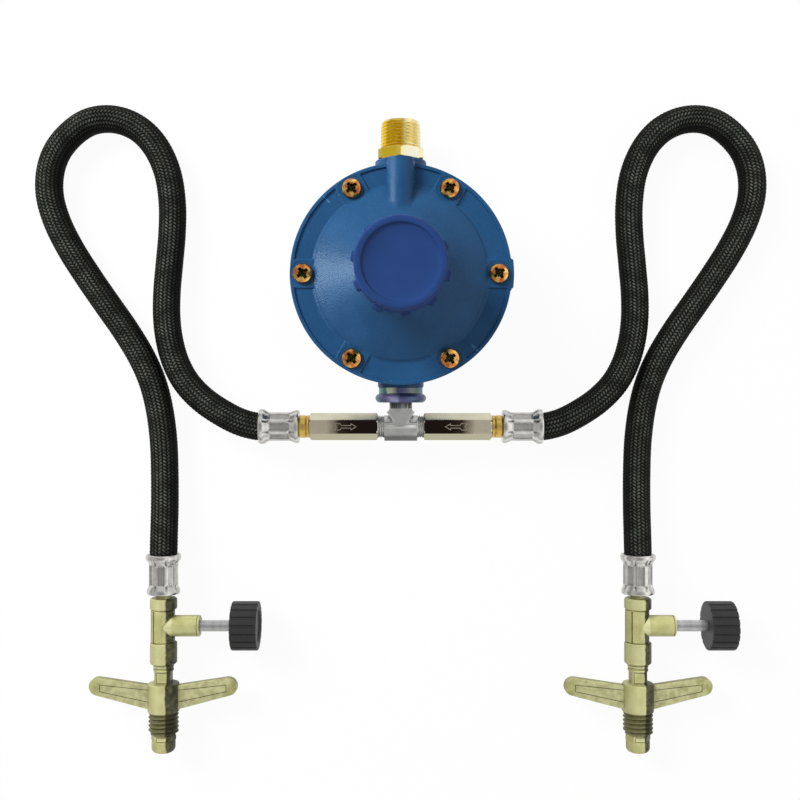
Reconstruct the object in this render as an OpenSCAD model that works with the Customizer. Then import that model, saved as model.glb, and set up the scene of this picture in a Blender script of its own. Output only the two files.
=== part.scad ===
// LPG regulator with two check valves, two braided hoses and two cylinder taps.
// The regulator lies on its back: +Z is the diaphragm axis, +Y points out of the outlet.
// The origin is the middle of the flat back face. All sizes are in millimetres.

/* [Lower housing] */
// Height of the lower housing, flange included
housing_h = 36; // [34:0.5:40]
// Thickness of the lower flange
flange_t = 5; // [4:0.1:7]
// Radius of the flat back face
back_r = 37; // [30:0.5:40]
// Radius of the gas chamber
chamber_r = 43; // [40:0.2:44]
// Thickness of the housing floor
floor_t = 4; // [3:0.1:5]
// Height of the inlet and outlet axis above the back face
port_z = 18; // [17:0.1:19.5]
// Distance from the foot of the bonnet's cone to the screw circle
screw_inset = 5; // [4.4:0.1:6]
// Distance from the screw circle to the edge of the flanges
flange_edge = 6.8; // [6:0.1:9]
// Number of flange screws
screw_count = 6; // [6:1:6]
// Width of the raised pad around each screw
pad_w = 15.8; // [13:0.1:18]
// How far the one locating pad stands proud of the flange edge
pad_proud = 1.2; // [0.5:0.1:3]
// Radius of the screw boss under each pad
boss_r = 5.4; // [4.5:0.1:6]

/* [Bonnet] */
// Thickness of the bonnet flange at its raised lip
bonnet_flange_t = 5.5; // [4.5:0.1:7]
// Depth of the annulus between lip and cone
lip_h = 1; // [0.5:0.1:2]
// Width of the raised lip at the rim
lip_w = 1.8; // [1:0.1:3]
// Radius at the foot of the cone
cone_r = 45.4; // [44.5:0.1:46.5]
// Height of the cone above its foot
cone_h = 14; // [12:0.5:16]
// Outer radius of the spring tower
tower_r = 20.5; // [19.6:0.1:22]
// Wall of the spring tower
tower_wall = 4.2; // [3:0.1:4.6]
// Height of the spring tower above the bonnet joint
tower_h = 42.5; // [40:0.5:46]
// Wall of the cone
cone_wall = 3; // [2.4:0.1:3.4]
// Radius of the half round vent rib
rib_r = 7.3; // [6:0.1:8]
// Height of the rib axis above the bonnet joint
rib_z = 6; // [5.5:0.1:7]
// Radius of the vent bore
vent_r = 3.4; // [2.5:0.1:3.8]
// How far the vent spout passes the flange edge
spout_proud = 1.8; // [0.5:0.1:4]

/* [Flange screws] */
// Radius of the screw head
head_r = 5.1; // [4.5:0.1:6]
// Height of the screw head
head_h = 3.3; // [2.5:0.1:4]
// Radius of the screw shank
shank_r = 2.4; // [2:0.1:3]
// Length of the screw shank
shank_l = 16; // [12:0.5:18]
// Width of the cross recess
recess_w = 1.3; // [1:0.1:1.6]

/* [Adjuster cap] */
// Wall of the cap skirt
cap_wall = 1.9; // [1.5:0.1:3]
// Height of the cap
cap_h = 20; // [18:0.5:24]
// Number of grip lobes
lobe_count = 10; // [8:1:14]
// Angle of the first lobe with the cap screwed home
lobe_angle = 24.5; // [0:0.5:36]
// Width of one grip lobe
lobe_w = 5; // [3:0.1:6]
// How far a lobe stands out of the skirt
lobe_proud = 2.1; // [1:0.1:3]
// Height of a grip lobe above the cap's lower edge
lobe_h = 9.5; // [6:0.5:16]
// Width of the raised top ring of the cap
cap_ring_w = 3.2; // [2.4:0.1:4]
// Depth of the dished top
dish_h = 2.5; // [1.5:0.1:3.2]
// Thickness of the cap under its dish
cap_ceiling_t = 2.5; // [1.8:0.1:4]
// Thickness of the cap gasket
gasket_t = 1.2; // [0.8:0.1:2]

/* [Diaphragm and loading spring] */
// Thickness of the diaphragm
diaphragm_t = 1.5; // [1:0.1:2]
// Radius of the pressure plate on the diaphragm
plate_r = 26; // [20:0.5:27]
// Thickness of the pressure plate
plate_t = 1.2; // [1:0.1:2]
// Length of the stem above the plate
stem_above_plate = 8; // [7.6:0.1:10]
// Radius of the stem through the diaphragm
stem_r = 3; // [2.5:0.1:3.5]
// Mean radius of the loading spring
spring_r = 11.5; // [10.5:0.1:12.5]
// Radius of the loading spring wire
spring_wire_r = 1.25; // [1:0.05:1.5]
// Turns of the loading spring
spring_turns = 5; // [4:0.5:5]
// Free gap held between plate and spring button
spring_l = 21.3; // [19:0.1:22]
// Thickness of the spring button
button_t = 2.5; // [2:0.1:4]
// Thickness of the adjusting screw disc
adjuster_t = 7.5; // [6:0.1:9]

/* [Valve lever] */
// Distance of the lever pin behind the diaphragm axis
pin_back = 20; // [19:0.2:20.4]
// Height of the lever pin above the back face
pin_z = 8; // [7.5:0.1:8.5]
// Radius of the lever pin
pin_r = 1.5; // [1.2:0.1:1.8]
// Height of the lever tip in the stem slot
tip_z = 24; // [23.4:0.1:24.4]
// Thickness of the lever plate
lever_t = 3; // [2:0.1:3.4]
// Radius of the valve plunger
plunger_r = 4.7; // [4.2:0.1:5]
// Opening of the valve at rest
valve_gap = 1.1; // [1.1:0.05:1.3]
// Radius of the inlet orifice
orifice_r = 1.2; // [0.8:0.1:1.6]

/* [Outlet nipple] */
// Radius of the outlet thread over its crests
outlet_thread_r = 10.65; // [10.2:0.05:11]
// Length of the outlet thread
outlet_thread_l = 15; // [10:0.5:18]
// Width across the flats of the outlet hexagon
outlet_hex_w = 24; // [22.4:0.1:26]
// Length of the outlet hexagon
outlet_hex_l = 6; // [3:0.1:8]
// Radius of the outlet bore
outlet_bore_r = 7; // [5:0.1:7.8]
// Length of the nipple inside the housing
outlet_spigot_l = 11; // [8:0.5:13]
// How far the outlet boss passes the flange edge
outlet_proud = 6.2; // [5:0.1:11]

/* [Inlet adapter and tee] */
// How far the inlet boss passes the flange edge
inlet_proud = 1.3; // [0.8:0.1:5]
// Radius of the adapter neck
adapter_neck_r = 11.75; // [10:0.05:12.2]
// Length of the adapter neck
adapter_neck_l = 3.2; // [2:0.1:5]
// Radius of the adapter collar
collar_r = 13.65; // [12.5:0.05:15]
// Length of the adapter collar
collar_l = 4.8; // [4:0.1:7]
// Radius of the gas bore in adapter and tee
feed_r = 3.2; // [2.4:0.1:3.6]
// Distance from the collar to the tee axis
tee_drop = 12.9; // [12.4:0.1:15]
// Radius of the tee body
tee_r = 7.5; // [6.6:0.1:8]
// Half width of the tee body
tee_half_w = 8.75; // [8:0.05:10]
// Radius of the stubs of the tee
stub_r = 6.1; // [5.6:0.1:6.3]
// Length of a side stub
stub_l = 3.65; // [2:0.05:5]
// Radius of the threaded ends of the tee
tee_thread_r = 4.85; // [4.6:0.05:5]
// Length of the threaded ends of the tee
tee_thread_l = 8; // [6:0.5:9]

/* [Check valves] */
// Width across the flats of the check valve body
check_w = 12.7; // [12.4:0.1:14]
// Length of the check valve body
check_l = 36.4; // [34:0.2:40]
// Radius of the check valve chamber
check_bore_r = 4.2; // [4.1:0.05:4.4]
// Radius of the poppet
poppet_r = 3.5; // [3.3:0.05:3.7]
// Length of the poppet
poppet_l = 8; // [7:0.2:9]
// Thickness of the poppet seal
poppet_seal_t = 0.7; // [0.5:0.1:1]
// Radius of the check spring wire
check_wire_r = 0.35; // [0.3:0.01:0.4]

/* [Hoses and ferrules] */
// Radius of the braided hose
hose_r = 7.5; // [7:0.1:8]
// Radius of the hose bore
hose_bore_r = 4.75; // [4.7:0.05:5]
// Radius of the hose where the ferrule squeezes it
squeezed_r = 6.4; // [6:0.1:6.4]
// Length of a ferrule
ferrule_l = 21.5; // [20:0.1:24]
// Width across the crimped flats of a ferrule
crimp_w = 14.5; // [14.4:0.1:15.4]
// Radius of the ferrule flare at the hose
mouth_r = 9.4; // [9:0.1:10]
// Radius of the ferrule flare at the tail
flare_r = 8.9; // [8.2:0.1:9.4]
// Radius of the barbs of a hose tail
barb_r = 4.3; // [4:0.05:4.4]
// Radius of the bore of a hose tail
tail_bore_r = 2.8; // [2:0.1:3]
// Length of the hexagon of the inner tail
tail_collar_l = 5.9; // [4:0.1:8]

/* [Cylinder taps] */
// Distance of each tap from the middle of the assembly
tap_x = 128.9; // [126:0.1:132]
// Distance of the tap's top collar in front of the diaphragm axis
tap_y = 172.6; // [172:0.1:176]
// Height of the tap axis above the back face plane
tap_z = 13.3; // [13.3:0.1:15]
// Radius of the tap collars
tap_collar_r = 7.25; // [7:0.05:8]
// Radius of the tap body
tap_r = 6.5; // [6.2:0.05:6.8]
// Length of the top collar
top_collar_l = 6; // [5.6:0.1:8]
// Length of the tap body between its collars
tap_l = 18; // [17:0.2:21]
// Length of the lower collar
low_collar_l = 11.8; // [10:0.1:14]
// Distance of the spindle axis below the top collar
spindle_drop = 9.2; // [8:0.1:9.6]
// Radius of the side boss
side_boss_r = 5.75; // [5.4:0.05:6]
// Length of the side boss from the tap axis
side_boss_l = 20; // [19:0.2:24]
// Radius of the spindle
spindle_r = 3.05; // [2.8:0.05:3.2]
// Gap of bare spindle between boss and knob
spindle_free = 17.4; // [8:0.1:24]
// Radius of the knob over its ribs
knob_r = 13.15; // [12:0.05:13.2]
// Length of the knob
knob_l = 14.3; // [12:0.1:18]
// Number of grooves around the knob
knob_grooves = 18; // [14:1:22]
// Travel of the needle when the tap is opened
needle_travel = 2; // [1:0.1:2]

/* [Wing nuts and nipples] */
// Radius of the nipple tube
nipple_r = 5.4; // [5:0.05:5.5]
// Radius of the nipple bore
nipple_bore_r = 2.5; // [2:0.1:3]
// Length of bare nipple above the wing nut
nipple_free = 10.3; // [8:0.1:14]
// Radius of the wing nut hub
hub_r = 8.5; // [8:0.1:10]
// Length of the wing nut hub
hub_l = 15.7; // [14:0.1:18]
// Radius of the cylinder thread over its crests
nut_thread_r = 8.05; // [7.6:0.05:8.4]
// Length of the cylinder thread
nut_thread_l = 11.8; // [9:0.1:15]
// Distance of each wing tip from the nut axis
wing_reach = 40.2; // [34:0.1:44]
// Radius of the wing tips
wing_tip_r = 4.9; // [4:0.1:5.6]
// Height of a wing where it leaves the hub
wing_root_w = 13.2; // [11:0.1:14]
// How far the wing tips lie above the middle of the hub
wing_rise = 6; // [4:0.1:8]
// Thickness of the wings
wing_t = 4.4; // [3:0.1:6]
// Depth of the recess in each face of a wing
panel_d = 0.8; // [0.4:0.1:1]
// Width across the corners of the nose hexagon
nose_hex_w = 13.6; // [12.4:0.1:15]
// Radius of the rounded nose
nose_r = 6.4; // [6:0.1:7]

/* [Clearances] */
// Radial gap of a piece that turns or slides in a bore
run_gap = 0.08; // [0.05:0.01:0.1]
// Radial gap of pieces that are screwed or pressed together
fit_gap = 0.02; // [0.01:0.01:0.05]

/* [Hidden] */

left = -1;
right = 1;
cut = 1;
body_fn = 96;
part_fn = 48;
screw_step = 360 / screw_count;
screw_circle_r = cone_r + screw_inset;
flange_r = screw_circle_r + flange_edge;
outlet_face_y = flange_r + outlet_proud;
inlet_face_y = flange_r + inlet_proud;

// Heights of the clamped joint and of the bonnet, above the back face
bonnet_z = housing_h + diaphragm_t;
flange_top_z = bonnet_z + bonnet_flange_t;
lip_floor_z = flange_top_z - lip_h;
tower_top_z = bonnet_z + tower_h;
tower_bore_r = tower_r - tower_wall;
pad_r = flange_r + pad_proud;
pad_in_r = 2 * screw_circle_r - pad_r + pad_proud;
rib_axis_z = bonnet_z + rib_z;
spout_y = flange_r + spout_proud;

// Heights of the pieces stacked on the diaphragm
plate_top_z = bonnet_z + plate_t;
spring_top_z = plate_top_z + spring_l;
adjuster_z = spring_top_z + button_t;
stem_top_z = plate_top_z + stem_above_plate;
stem_foot_r = 5;
stem_foot_z = 20;
stem_disc_r = 12;
stem_disc_t = 1.2;
relief_l = 5;
relief_nut_t = 2.4;

// Heights of the cap on the tower
gasket_top_z = tower_top_z + gasket_t;
cap_in_r = tower_r + run_gap;
cap_out_r = cap_in_r + cap_wall;
cap_cavity_h = 1.8;
cap_top_z = gasket_top_z + cap_cavity_h + cap_ceiling_t + dish_h;
cap_low_z = cap_top_z - cap_h;

// Places along the valve, measured along Y
pin_y = -pin_back;
slot_half = 2.2;
lever_tip_r = 2;
lever_low_r = 1.85;
lever_w = 2.6;
lever_foot_y = pin_y + 7;
lever_knee_y = pin_y + 11;
guide_r = 7.5;
guide_end_y = pin_y - 4;
plunger_back_y = pin_y + 4;
pad_face_y = pin_y - 10 + 0.1;
pad_t = 1.9;
seat_tip_y = pad_face_y - valve_gap;
seat_face_y = seat_tip_y - 2;
seat_r = 5.5;
seat_nose_r = 2.8;
adapter_thread_r = 8.5;
adapter_thread_l = 9;
seat_back_y = -inlet_face_y + adapter_thread_l;
outlet_boss_r = outlet_hex_w / 2 + 1.8;
inlet_boss_r = adapter_neck_r + 0.65;
spigot_r = outlet_bore_r + 2.5;

// Places along the tee and the arms, measured from the middle of the tee
collar_y = -inlet_face_y - adapter_neck_l - collar_l;
tee_y = collar_y - tee_drop;
tee_flat_z = stub_r - 0.1;
tee_top = tee_r - 3.6;
adapter_socket = 5;
arm_0 = tee_half_w + stub_l;
arm_chamber = arm_0 + tee_thread_l;
arm_end = arm_0 + check_l;
tail_thread_l = 8;
arm_seat = arm_end - tail_thread_l;
poppet_end = arm_seat - poppet_seal_t - 0.1;
arm_ferrule = arm_end + tail_collar_l;
tail_thread_r = 5;

// Places along a tap, measured down from its top collar
tap_z1 = top_collar_l;
tap_axis = top_collar_l + spindle_drop;
tap_z2 = top_collar_l + tap_l;
tap_z3 = tap_z2 + low_collar_l;
hub_0 = tap_z3 + nipple_free;
hub_1 = hub_0 + hub_l;
nut_end = hub_1 + nut_thread_l;
nose_0 = nut_end + 0.4;
nose_1 = nose_0 + 3.2;
nose_2 = nose_1 + 6.3;
gland_r = 4.2;
gland_l = 7;
packing_l = 2;
seat_x = 1.5;
seat_hole_r = 1.6;
passage_r = 1.8;
passage_x = 3.2;
needle_r = 3;
needle_end = seat_x + 7.4;
knob_0 = side_boss_l + spindle_free;
spindle_in_knob = 9.6;
neck_l = 2.3;
tap_spigot_l = 5;
nipple_thread_r = 4.8;
nipple_thread_l = 8;

// Centre line of the right hose, from the inner to the outer ferrule; the left one mirrors it.
// It is squeezed at its first and last two points, and lies on the ground in between.
hose_route = [
    [56, -79.4, 18], [70, -79.4, 18], [77, -79.4, 18], [87, -76.8, 17.6], [98, -71.2, 16.4],
    [108, -64.3, 14.8], [116.5, -55.5, 13.2], [122.5, -45, 11.6], [126.3, -33, 10.2],
    [128.2, -20, 8.8], [128.3, -6, 7.9], [127, 10, 7.6], [125.6, 26, 7.6], [125.4, 42, 7.6],
    [127.6, 58, 7.6], [133, 71.5, 7.6], [141, 81.5, 7.6], [151, 87.4, 7.6], [162, 89.2, 7.6],
    [172.5, 86.8, 7.6], [182, 79.8, 7.6], [189, 70.5, 7.6], [192.6, 59, 7.6], [192.5, 46, 7.6],
    [188.3, 32, 7.6], [181, 17.5, 7.6], [171.8, 3, 7.6], [161.5, -12, 7.6], [151, -27, 7.6],
    [142, -42, 7.6], [136, -56, 7.6], [132.3, -71, 7.6], [130.2, -88, 7.6], [129.4, -106, 8.3],
    [129, -123, 10], [128.9, -137, 12], [128.9, -148.5, 13.3], [128.9, -155, 13.3],
    [128.9, -169, 13.3]];
hose_sides = 10;

function unit(v) = v / norm(v);

// Direction of travel at point i of a path
function along(path, i) = unit(path[min(i + 1, len(path) - 1)] - path[max(i - 1, 0)]);

// One ring of points around a path, in the plane across it
function ring(path, i, r, sides) =
    let (t = along(path, i), s = unit(cross(t, [0, 0, 1])), u = cross(s, t))
    [for (k = [0 : sides - 1]) path[i] + r * (cos(360 * k / sides) * s + sin(360 * k / sides) * u)];

// Quads between ring a and ring a + 1 of a swept skin
function skin(a, sides, first = 0) = [for (k = [0 : sides - 1])
    let (n = (k + 1) % sides, p = first + a * sides)
    [p + k, p + n, p + sides + n, p + sides + k]];

function flipped(face) = [for (k = [len(face) - 1 : -1 : 0]) face[k]];

// Points of a coil spring of height h around Z, with a quarter turn laid flat at each end
function coil(r, wire, h, turns, steps) = [for (i = [0 : turns * steps])
    let (rise = min(max((i / steps - 0.25) / (turns - 0.5), 0), 1))
    [r * cos(360 * i / steps), r * sin(360 * i / steps), wire + (h - 2 * wire) * rise]];

// A round wire swept along a path
module wire(path, r, sides) {
    last = len(path) - 1;
    polyhedron(
        points = [for (i = [0 : last]) each ring(path, i, r, sides)],
        faces = concat(
            [for (a = [0 : last - 1]) each skin(a, sides)],
            [[for (k = [sides - 1 : -1 : 0]) k]],
            [[for (k = [0 : sides - 1]) last * sides + k]]));
}

// A hollow hose swept along a path, squeezed at both of its ends
module hose_tube(path, r, bore, sides) {
    last = len(path) - 1;
    count = len(path) * sides;
    outer = [for (i = [0 : last])
        each ring(path, i, (i < 2 || i > last - 2) ? squeezed_r : r, sides)];
    inner = [for (i = [0 : last]) each ring(path, i, bore, sides)];
    polyhedron(
        points = concat(outer, inner),
        faces = concat(
            [for (a = [0 : last - 1]) each skin(a, sides)],
            [for (a = [0 : last - 1]) for (f = skin(a, sides, count)) flipped(f)],
            [for (k = [0 : sides - 1]) let (n = (k + 1) % sides) [n, k, count + k, count + n]],
            [for (k = [0 : sides - 1]) let (n = (k + 1) % sides, e = last * sides)
                [e + k, e + n, count + e + n, count + e + k]]));
}

// A hexagon prism with two flats facing X
module hex(w, l) rotate([0, 0, 30]) cylinder(h = l, r = w / 2 / cos(30), $fn = 6);

// A hexagon bar whose corners are turned down at both ends
module turned_hex(w, l, chamfer) {
    corner_r = w / 2 / cos(30);
    face_r = corner_r - chamfer;
    intersection() {
        hex(w, l);
        rotate_extrude($fn = part_fn) polygon([[0, 0], [face_r, 0], [corner_r + 0.1, chamfer * 0.6],
            [corner_r + 0.1, l - chamfer * 0.6], [face_r, l], [0, l]]);
    }
}

// Local frames: along +Y from the axis, along an arm of the tee, and down a cylinder tap
module toward_outlet(y) translate([0, y, port_z]) rotate([-90, 0, 0]) children();
module on_arm(side, x) translate([side * x, tee_y, port_z]) rotate([0, side * 90, 0]) children();
module on_tap(side) translate([side * tap_x, -tap_y, tap_z]) rotate([90, 0, 0]) children();
module on_spindle(side, x) on_tap(side) translate([x, 0, tap_axis]) rotate([0, 90, 0]) children();

// The flange outline: a disc on which one screw pad stands proud, to locate the two castings
module flange_outline(r) {
    circle(r = r, $fn = body_fn);
    intersection() {
        circle(r = r + pad_proud, $fn = body_fn);
        translate([pad_in_r, -pad_w / 2]) square([pad_r - pad_in_r + cut, pad_w]);
    }
}

module at_screws(z) for (i = [0 : screw_count - 1])
    rotate([0, 0, i * screw_step]) translate([screw_circle_r, 0, z]) children();

// Die cast lower housing with the gas chamber, both ports and the guide of the valve
module lower_housing() color("steelblue") difference() {
    union() {
        difference() {
            union() {
                rotate_extrude($fn = body_fn) polygon([[0, 0], [back_r, 0], [back_r + 3, 0.9],
                    [back_r + 7, 5], [chamber_r + 3, 14], [chamber_r + 4, housing_h - flange_t],
                    [chamber_r + 4, housing_h], [0, housing_h]]);
                translate([0, 0, housing_h - flange_t]) linear_extrude(flange_t)
                    flange_outline(flange_r);
                at_screws(flange_top_z - shank_l - 3)
                    cylinder(h = housing_h - flange_top_z + shank_l + 3, r = boss_r, $fn = part_fn);
                toward_outlet(chamber_r - 2)
                    cylinder(h = outlet_face_y - chamber_r + 2, r = outlet_boss_r, $fn = body_fn);
                toward_outlet(-inlet_face_y)
                    cylinder(h = inlet_face_y - chamber_r + 2, r = inlet_boss_r, $fn = body_fn);
            }
            rotate_extrude($fn = body_fn) polygon([[0, floor_t], [back_r - 4, floor_t],
                [chamber_r - 3, floor_t + 7], [chamber_r, 20], [chamber_r, housing_h + cut],
                [0, housing_h + cut]]);
        }
        toward_outlet(-chamber_r - 2)
            cylinder(h = chamber_r + 2 + guide_end_y, r = guide_r, $fn = part_fn);
        translate([-3, -chamber_r, floor_t - cut])
            cube([6, chamber_r + guide_end_y - 1, port_z - floor_t]);
        for (s = [-1, 1]) translate([s * (lever_t / 2 + 2.4) - 1.4, pin_y - 3, floor_t - cut])
            cube([2.8, 6, pin_z + 3 - floor_t + cut]);
    }
    at_screws(flange_top_z - shank_l - 1)
        cylinder(h = shank_l + cut, r = shank_r + fit_gap, $fn = part_fn);
    toward_outlet(outlet_face_y - outlet_spigot_l)
        cylinder(h = outlet_spigot_l + cut, r = spigot_r + fit_gap, $fn = part_fn);
    toward_outlet(chamber_r - 8)
        cylinder(h = outlet_face_y - chamber_r, r = outlet_bore_r, $fn = part_fn);
    toward_outlet(-inlet_face_y - cut)
        cylinder(h = adapter_thread_l + cut, r = adapter_thread_r + fit_gap, $fn = part_fn);
    toward_outlet(seat_back_y - cut)
        cylinder(h = seat_face_y - seat_back_y + cut, r = seat_r + fit_gap, $fn = part_fn);
    toward_outlet(seat_face_y - cut)
        cylinder(h = guide_end_y - seat_face_y + 2 * cut, r = plunger_r + run_gap, $fn = part_fn);
    translate([-guide_r - cut, seat_face_y, port_z - 2.5])
        cube([2 * guide_r + 2 * cut, pad_face_y + 1 - seat_face_y, 5]);
    translate([-lever_t / 2 - 6, pin_y, pin_z]) rotate([0, 90, 0])
        cylinder(h = lever_t + 12, r = pin_r + fit_gap, $fn = part_fn);
}

// Die cast bonnet: lipped flange with six pads, shallow cone, spring tower and vent rib
module bonnet() color("steelblue") difference() {
    union() {
        translate([0, 0, bonnet_z]) linear_extrude(bonnet_flange_t - lip_h)
            circle(r = flange_r, $fn = body_fn);
        translate([0, 0, bonnet_z]) linear_extrude(bonnet_flange_t) difference() {
            flange_outline(flange_r);
            difference() {
                circle(r = flange_r - lip_w, $fn = body_fn);
                for (i = [0 : screw_count - 1]) rotate([0, 0, i * screw_step])
                    translate([pad_in_r, -pad_w / 2]) square([pad_r, pad_w]);
            }
        }
        rotate_extrude($fn = body_fn) polygon([[0, bonnet_z], [cone_r, bonnet_z],
            [cone_r, lip_floor_z], [cone_r - 0.9, lip_floor_z + 1.3],
            [tower_r + 11, lip_floor_z + cone_h * 0.64], [tower_r + 3, lip_floor_z + cone_h],
            [tower_r + 0.8, lip_floor_z + cone_h + 2.6], [tower_r, lip_floor_z + cone_h + 5.5],
            [tower_r, tower_top_z - 1], [tower_r - 0.8, tower_top_z], [0, tower_top_z]]);
        intersection() {
            translate([0, tower_r - 2, rib_axis_z]) rotate([-90, 0, 0])
                cylinder(h = spout_y - tower_r + 2, r = rib_r, $fn = body_fn);
            translate([-rib_r - cut, 0, bonnet_z])
                cube([2 * rib_r + 2 * cut, spout_y + cut, rib_z + rib_r + cut]);
        }
    }
    rotate_extrude($fn = body_fn) polygon([[0, bonnet_z - cut], [chamber_r, bonnet_z - cut],
        [chamber_r, bonnet_z + 1.5], [cone_r - 3.6, lip_floor_z + 1.3 - cone_wall + 1],
        [tower_r + 10, lip_floor_z + cone_h * 0.64 - cone_wall],
        [tower_bore_r + 2, lip_floor_z + cone_h - cone_wall], [tower_bore_r, lip_floor_z + cone_h + 1],
        [tower_bore_r, tower_top_z + cut], [0, tower_top_z + cut]]);
    translate([0, chamber_r - 9, rib_axis_z]) rotate([-90, 0, 0])
        cylinder(h = spout_y - chamber_r + 9 + cut, r = vent_r, $fn = part_fn);
    at_screws(bonnet_z - cut)
        cylinder(h = bonnet_flange_t + 2 * cut, r = shank_r + fit_gap, $fn = part_fn);
}

// Six pan head screws with a cross recess
module bonnet_screws() color("darkgoldenrod") at_screws(flange_top_z) difference() {
    rotate_extrude($fn = part_fn) polygon([[0, -shank_l], [shank_r - 0.5, -shank_l],
        [shank_r, 0.5 - shank_l], [shank_r, 0], [head_r, 0], [head_r, head_h * 0.45],
        [head_r - 0.7, head_h * 0.78], [head_r - 2, head_h * 0.96], [0, head_h]]);
    for (a = [0, 90]) rotate([0, 0, a]) translate([-recess_w / 2, -head_r * 0.55, head_h * 0.45])
        cube([recess_w, head_r * 1.1, head_h]);
}

// Rubber diaphragm: clamped rim, rolled convolution and a flat middle under the plate
module diaphragm() color("dimgray") difference() {
    union() {
        difference() {
            translate([0, 0, housing_h]) linear_extrude(diaphragm_t) flange_outline(flange_r - 0.3);
            translate([0, 0, housing_h - cut])
                cylinder(h = diaphragm_t + 2 * cut, r = chamber_r - 1, $fn = body_fn);
        }
        translate([0, 0, housing_h]) cylinder(h = diaphragm_t, r = plate_r + 2, $fn = body_fn);
        rotate_extrude($fn = body_fn) polygon([[plate_r + 1, housing_h],
            [plate_r + 3.5, housing_h], [plate_r + 5.5, housing_h + 2.2],
            [chamber_r - 5.5, housing_h + 2.2], [chamber_r - 3.5, housing_h],
            [chamber_r, housing_h], [chamber_r, housing_h + diaphragm_t],
            [chamber_r - 3, housing_h + diaphragm_t], [chamber_r - 5, housing_h + 2.2 + diaphragm_t],
            [plate_r + 5, housing_h + 2.2 + diaphragm_t], [plate_r + 3, housing_h + diaphragm_t],
            [plate_r + 1, housing_h + diaphragm_t]]);
    }
    translate([0, 0, housing_h - cut])
        cylinder(h = diaphragm_t + 2 * cut, r = stem_r + fit_gap, $fn = part_fn);
    at_screws(housing_h - cut)
        cylinder(h = diaphragm_t + 2 * cut, r = shank_r + fit_gap, $fn = part_fn);
}

// Pressed steel plate that spreads the load of the spring over the diaphragm
module diaphragm_plate() color("silver") translate([0, 0, bonnet_z]) rotate_extrude($fn = body_fn)
    polygon([[stem_r + fit_gap, 0], [plate_r, 0], [plate_r, plate_t * 0.7], [plate_r - 0.6, plate_t],
        [spring_r + spring_wire_r + 1.8, plate_t], [spring_r + spring_wire_r + 1.4, plate_t + 1.4],
        [spring_r + spring_wire_r + 0.6, plate_t + 1.4], [spring_r + spring_wire_r + 0.6, plate_t],
        [stem_r + fit_gap, plate_t]]);

// Stem through the diaphragm, with a slotted foot that takes the tip of the lever
module diaphragm_stem() color("silver") difference() {
    union() {
        translate([0, 0, stem_foot_z])
            cylinder(h = housing_h - stem_foot_z, r = stem_foot_r, $fn = part_fn);
        translate([0, 0, housing_h - stem_disc_t])
            cylinder(h = stem_disc_t, r = stem_disc_r, $fn = part_fn);
        translate([0, 0, housing_h - cut])
            cylinder(h = stem_top_z - housing_h + cut, r = stem_r, $fn = part_fn);
    }
    translate([-lever_t / 2 - 0.3, -stem_foot_r - cut, tip_z - slot_half])
        cube([lever_t + 0.6, stem_foot_r + cut + 3, 2 * slot_half]);
}

// Small spring and nut that hold the plate down on the stem
module relief_spring() color("silver") translate([0, 0, plate_top_z])
    wire(coil(stem_r + 1.1, 0.45, relief_l, 4, 14), 0.45, 6);
module relief_nut() color("goldenrod") translate([0, 0, plate_top_z + relief_l]) difference() {
    hex(2 * stem_r + 5, relief_nut_t);
    translate([0, 0, -cut])
        cylinder(h = relief_nut_t + 2 * cut, r = stem_r + fit_gap, $fn = part_fn);
}

// Loading spring between the plate and the button under the adjusting screw
module main_spring() color("gray") translate([0, 0, plate_top_z])
    wire(coil(spring_r, spring_wire_r, spring_l, spring_turns, 20), spring_wire_r, 8);
module spring_button() color("lightgray") translate([0, 0, spring_top_z])
    rotate_extrude($fn = body_fn) polygon([[0, -2.5], [spring_r - spring_wire_r - 1.2, -2.5],
        [spring_r - spring_wire_r - 0.4, 0], [spring_r + spring_wire_r + 0.8, 0],
        [spring_r + spring_wire_r + 0.8, button_t], [0, button_t]]);

// Threaded disc in the tower; turning it down loads the spring
module adjusting_screw() color("dimgray") translate([0, 0, adjuster_z]) difference() {
    cylinder(h = adjuster_t, r = tower_bore_r - run_gap, $fn = body_fn);
    translate([0, 0, adjuster_t - 5]) hex(12, 5 + cut);
}

// Flat ring that seals the cap on the tower
module cap_gasket() color("black") translate([0, 0, tower_top_z]) difference() {
    cylinder(h = gasket_t, r = tower_r - 0.4, $fn = body_fn);
    translate([0, 0, -cut]) cylinder(h = gasket_t + 2 * cut, r = tower_bore_r + 0.5, $fn = body_fn);
}

// Outline of one castellation of the cap, seen from above
module lobe_outline() polygon([[cap_in_r + 1, -lobe_w / 2], [cap_out_r + lobe_proud - 0.8, -lobe_w / 2],
    [cap_out_r + lobe_proud, 0.8 - lobe_w / 2], [cap_out_r + lobe_proud, lobe_w / 2 - 0.8],
    [cap_out_r + lobe_proud - 0.8, lobe_w / 2], [cap_in_r + 1, lobe_w / 2]]);

// Moulded plastic cap with castellated skirt and dished top
module adjuster_cap() color("royalblue") difference() {
    union() {
        rotate_extrude($fn = body_fn) polygon([[0, cap_low_z], [cap_out_r, cap_low_z],
            [cap_out_r, cap_top_z - 1.2], [cap_out_r - 0.4, cap_top_z - 0.3],
            [cap_out_r - 1.2, cap_top_z], [cap_out_r - cap_ring_w, cap_top_z],
            [cap_out_r - cap_ring_w - 3.7, cap_top_z - dish_h], [0, cap_top_z - dish_h]]);
        for (i = [0 : lobe_count - 1]) rotate([0, 0, lobe_angle + i * 360 / lobe_count])
            translate([0, 0, cap_low_z]) linear_extrude(lobe_h) lobe_outline();
    }
    translate([0, 0, cap_low_z - cut])
        cylinder(h = gasket_top_z - cap_low_z + cut, r = cap_in_r, $fn = body_fn);
    translate([0, 0, gasket_top_z - cut])
        cylinder(h = cap_cavity_h + cut, r = tower_bore_r, $fn = body_fn);
}

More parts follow.
